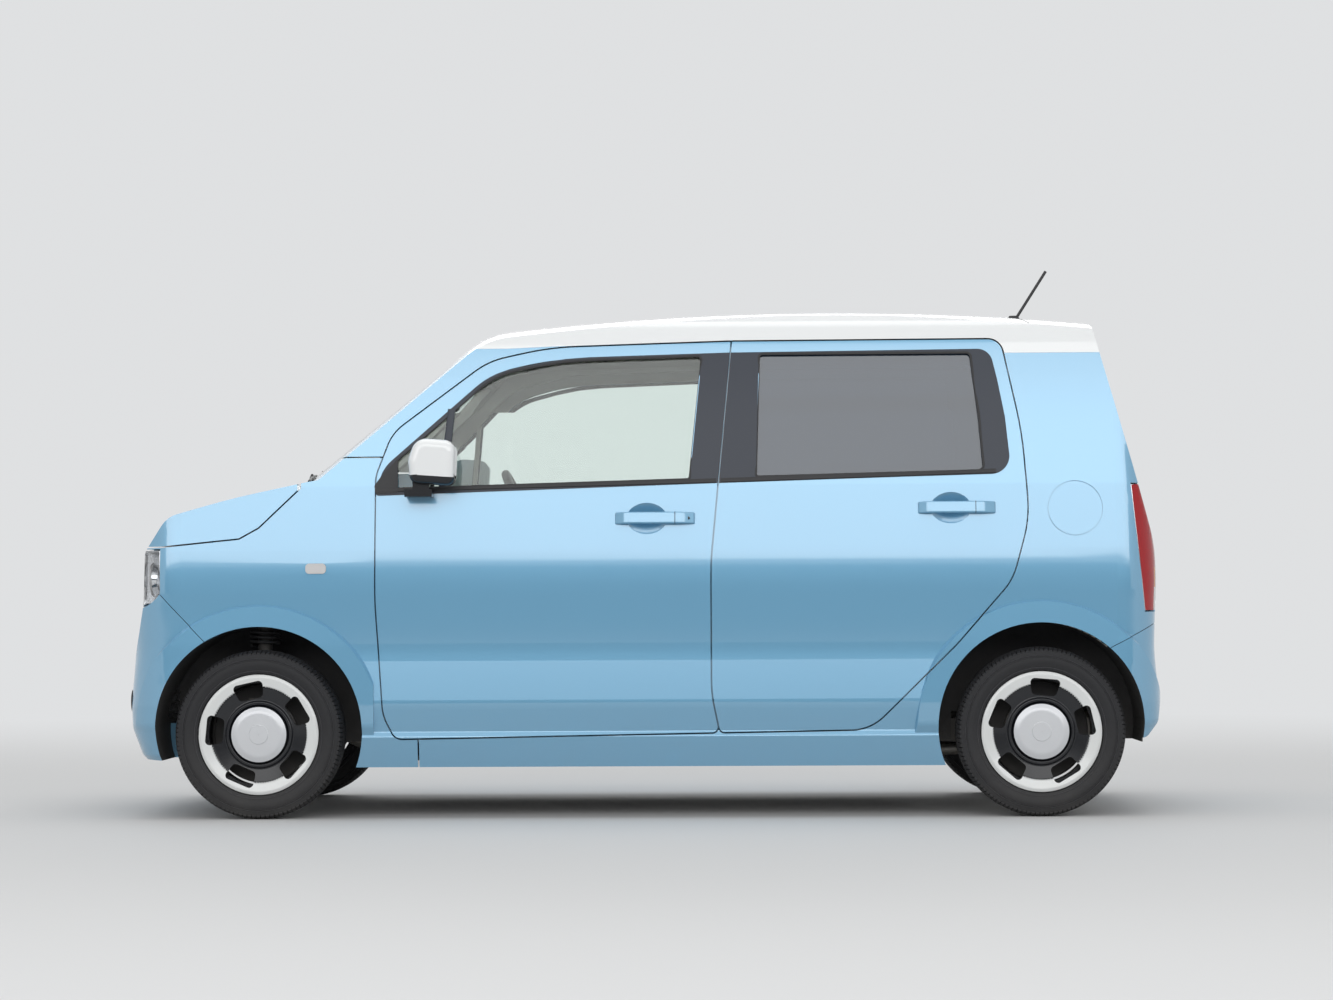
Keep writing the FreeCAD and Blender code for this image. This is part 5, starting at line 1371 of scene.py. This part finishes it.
def pale_floor(look):
    material, shader = new_material("Pale floor")
    tree = material.node_tree
    nodes = tree.nodes
    shader.inputs["Base Color"].default_value = (*look.floor_colour, 1)
    shader.inputs["Roughness"].default_value = 0.9
    plain = nodes.new("ShaderNodeEmission")
    plain.inputs["Color"].default_value = (*look.background_colour, 1)
    where = nodes.new("ShaderNodeTexCoord")
    distance = nodes.new("ShaderNodeVectorMath")
    distance.operation = "LENGTH"
    fade = nodes.new("ShaderNodeMapRange")
    fade.interpolation_type = "SMOOTHSTEP"
    fade.inputs["From Min"].default_value, fade.inputs["From Max"].default_value = FLOOR_FADE
    amount = math_node(tree, "MULTIPLY")
    mix = nodes.new("ShaderNodeMixShader")
    join(tree, (where, "Object", distance, 0), (distance, "Value", fade, "Value"),
         (fade, "Result", amount, 0), (seen_rays(tree), "Value", amount, 1), (amount, "Value", mix, "Fac"),
         (shader, "BSDF", mix, 1), (plain, "Emission", mix, 2),
         (mix, "Shader", nodes["Material Output"], "Surface"))
    bm = bmesh.new()
    bmesh.ops.create_grid(bm, x_segments=8, y_segments=8, size=look.floor_reach)
    floor = staged("floor", bm, material)
    floor.location.z = -0.0005
    return floor


def dark_card(look):
    """A dark card, seen only in gloss and through glass, for the darker band along the car's side."""
    material, shader = new_material("Dark card")
    shader.inputs["Base Color"].default_value = (0.16, 0.17, 0.18, 1)
    shader.inputs["Roughness"].default_value = 1.0
    bm = bmesh.new()
    add_block(bm, (-14.0, 14.0, 0.0), (14.0, 14.1, look.card_height))
    add_block(bm, (-14.0, 8.2, 0.001), (14.0, 14.0, 0.003))
    card = staged("dark_card", bm, material)
    card.visible_camera = False
    card.visible_diffuse = False
    card.visible_shadow = False
    return card


def surroundings(look):
    """Light from all round, with the plain background where it is seen."""
    world = bpy.data.worlds.new("Studio")
    world.use_nodes = True
    tree = world.node_tree
    light = tree.nodes["Background"]
    light.inputs["Strength"].default_value = look.world_strength
    light.inputs["Color"].default_value = (0.95, 0.98, 1.0, 1)
    plain = tree.nodes.new("ShaderNodeBackground")
    plain.inputs["Color"].default_value = (*look.background_colour, 1)
    mix = tree.nodes.new("ShaderNodeMixShader")
    join(tree, (seen_rays(tree), "Value", mix, "Fac"), (light, "Background", mix, 1),
         (plain, "Background", mix, 2), (mix, "Shader", tree.nodes["World Output"], "Surface"))
    return world


def soft_light(name, at, towards, size, watts):
    data = bpy.data.lights.new(name, "AREA")
    data.shape = "RECTANGLE"
    data.size, data.size_y = size
    data.energy = watts
    lamp = bpy.data.objects.new(name, data)
    lamp.location = at
    lamp.rotation_euler = (Vector(towards) - Vector(at)).to_track_quat("-Z", "Y").to_euler()
    bpy.context.scene.collection.objects.link(lamp)


def photo_camera():
    """The camera that took the photograph."""
    data = bpy.data.cameras.new("Photo camera")
    data.sensor_width = SENSOR
    data.lens = PHOTO_FOCAL / PHOTO_W * SENSOR
    data.clip_end = 200.0
    camera = bpy.data.objects.new("Photo camera", data)
    yaw = math.atan((PHOTO_SQUARE[0] - PHOTO_W / 2) / PHOTO_FOCAL)
    pitch = math.atan((PHOTO_SQUARE[1] - PHOTO_H / 2) / PHOTO_FOCAL)
    camera.matrix_world = Matrix.Translation(CAMERA_AT) @ look_along(yaw, pitch, PHOTO_ROLL)
    bpy.context.scene.collection.objects.link(camera)
    return camera


class KEICAR_OT_stage(bpy.types.Operator):
    """Pale floor that runs into a pale background, soft panels and the photograph's camera"""
    bl_idname = "keicar.stage"
    bl_label = "Stage"

    def execute(self, context):
        scene = context.scene
        look = scene.kei_car_stage
        pale_floor(look)
        dark_card(look)
        scene.world = surroundings(look)
        for name, at, towards, size, setting in PANELS:
            soft_light(name, at, towards, size, getattr(look, setting))
        scene.camera = photo_camera()
        scene.view_settings.view_transform = "Standard"
        return {"FINISHED"}


def colour_setting(name, description, default):
    return FloatVectorProperty(name=name, description=description, subtype="COLOR", default=default,
                               min=0, max=1)


class KeiCarFinish(bpy.types.PropertyGroup):
    body_colour: colour_setting("Body colour", "Paint of the body panels", (0.155, 0.385, 0.575))
    roof_colour: colour_setting("Roof colour", "Paint of the roof and mirror covers", (0.82, 0.83, 0.83))
    wheel_colour: colour_setting("Wheel colour", "Paint of the wheels' outer rings", (0.72, 0.73, 0.72))
    coat_ior: FloatProperty(name="Coat index", description="How strongly the body's clear coat reflects",
                            default=1.9, min=1.0, max=3.0)


class KeiCarStage(bpy.types.PropertyGroup):
    floor_colour: colour_setting("Floor colour", "Colour of the plain floor", (0.66, 0.655, 0.65))
    background_colour: colour_setting("Background colour", "Colour behind the car", (0.74, 0.75, 0.76))
    card_height: FloatProperty(name="Dark card", description="Height of the card that the near side reflects",
                               default=2.1, unit="LENGTH")
    floor_reach: FloatProperty(name="Floor reach", description="How far the floor runs out from the middle",
                               default=60.0, unit="LENGTH")
    world_strength: FloatProperty(name="World strength", description="Level of the light from all round",
                                  default=0.47)
    key_watts: FloatProperty(name="Near panel", description="Power of the panel over the near side",
                             default=490.0, unit="POWER")
    top_watts: FloatProperty(name="Top panel", description="Power of the panel over the roof",
                             default=160.0, unit="POWER")
    fill_watts: FloatProperty(name="Far panel", description="Power of the panel over the far side",
                              default=220.0, unit="POWER")


OPERATORS = (
    KEICAR_OT_body,
    KEICAR_OT_wheels,
    KEICAR_OT_tyres,
    KEICAR_OT_window_trim,
    KEICAR_OT_door_details,
    KEICAR_OT_lamps,
    KEICAR_OT_fittings,
    KEICAR_OT_seats,
    KEICAR_OT_cabin,
    KEICAR_OT_springs,
    KEICAR_OT_stage,
)


class KEICAR_PT_panel(bpy.types.Panel):
    """Lists the car's settings and the steps that dress it"""
    bl_idname = "KEICAR_PT_panel"
    bl_label = "Kei car"
    bl_space_type = "VIEW_3D"
    bl_region_type = "UI"
    bl_category = "Kei car"

    def draw(self, context):
        for settings in (context.scene.kei_car_finish, context.scene.kei_car_stage):
            for name in settings.bl_rna.properties.keys():
                if name not in ("rna_type", "name"):
                    self.layout.prop(settings, name)
        for operator in OPERATORS:
            self.layout.operator(operator.bl_idname)


CLASSES = (KeiCarFinish, KeiCarStage) + OPERATORS + (KEICAR_PT_panel,)


def register():
    for one in CLASSES:
        bpy.utils.register_class(one)
    bpy.types.Scene.kei_car_finish = PointerProperty(type=KeiCarFinish)
    bpy.types.Scene.kei_car_stage = PointerProperty(type=KeiCarStage)


def unregister():
    del bpy.types.Scene.kei_car_finish
    del bpy.types.Scene.kei_car_stage
    for one in reversed(CLASSES):
        bpy.utils.unregister_class(one)


def main():
    register()
    turned_array_tree()
    row_array_tree()
    coil_tree()
    make_materials()
    for operator in OPERATORS:
        group, name = operator.bl_idname.split(".")
        getattr(getattr(bpy.ops, group), name)()


if __name__ == "__main__":
    main()
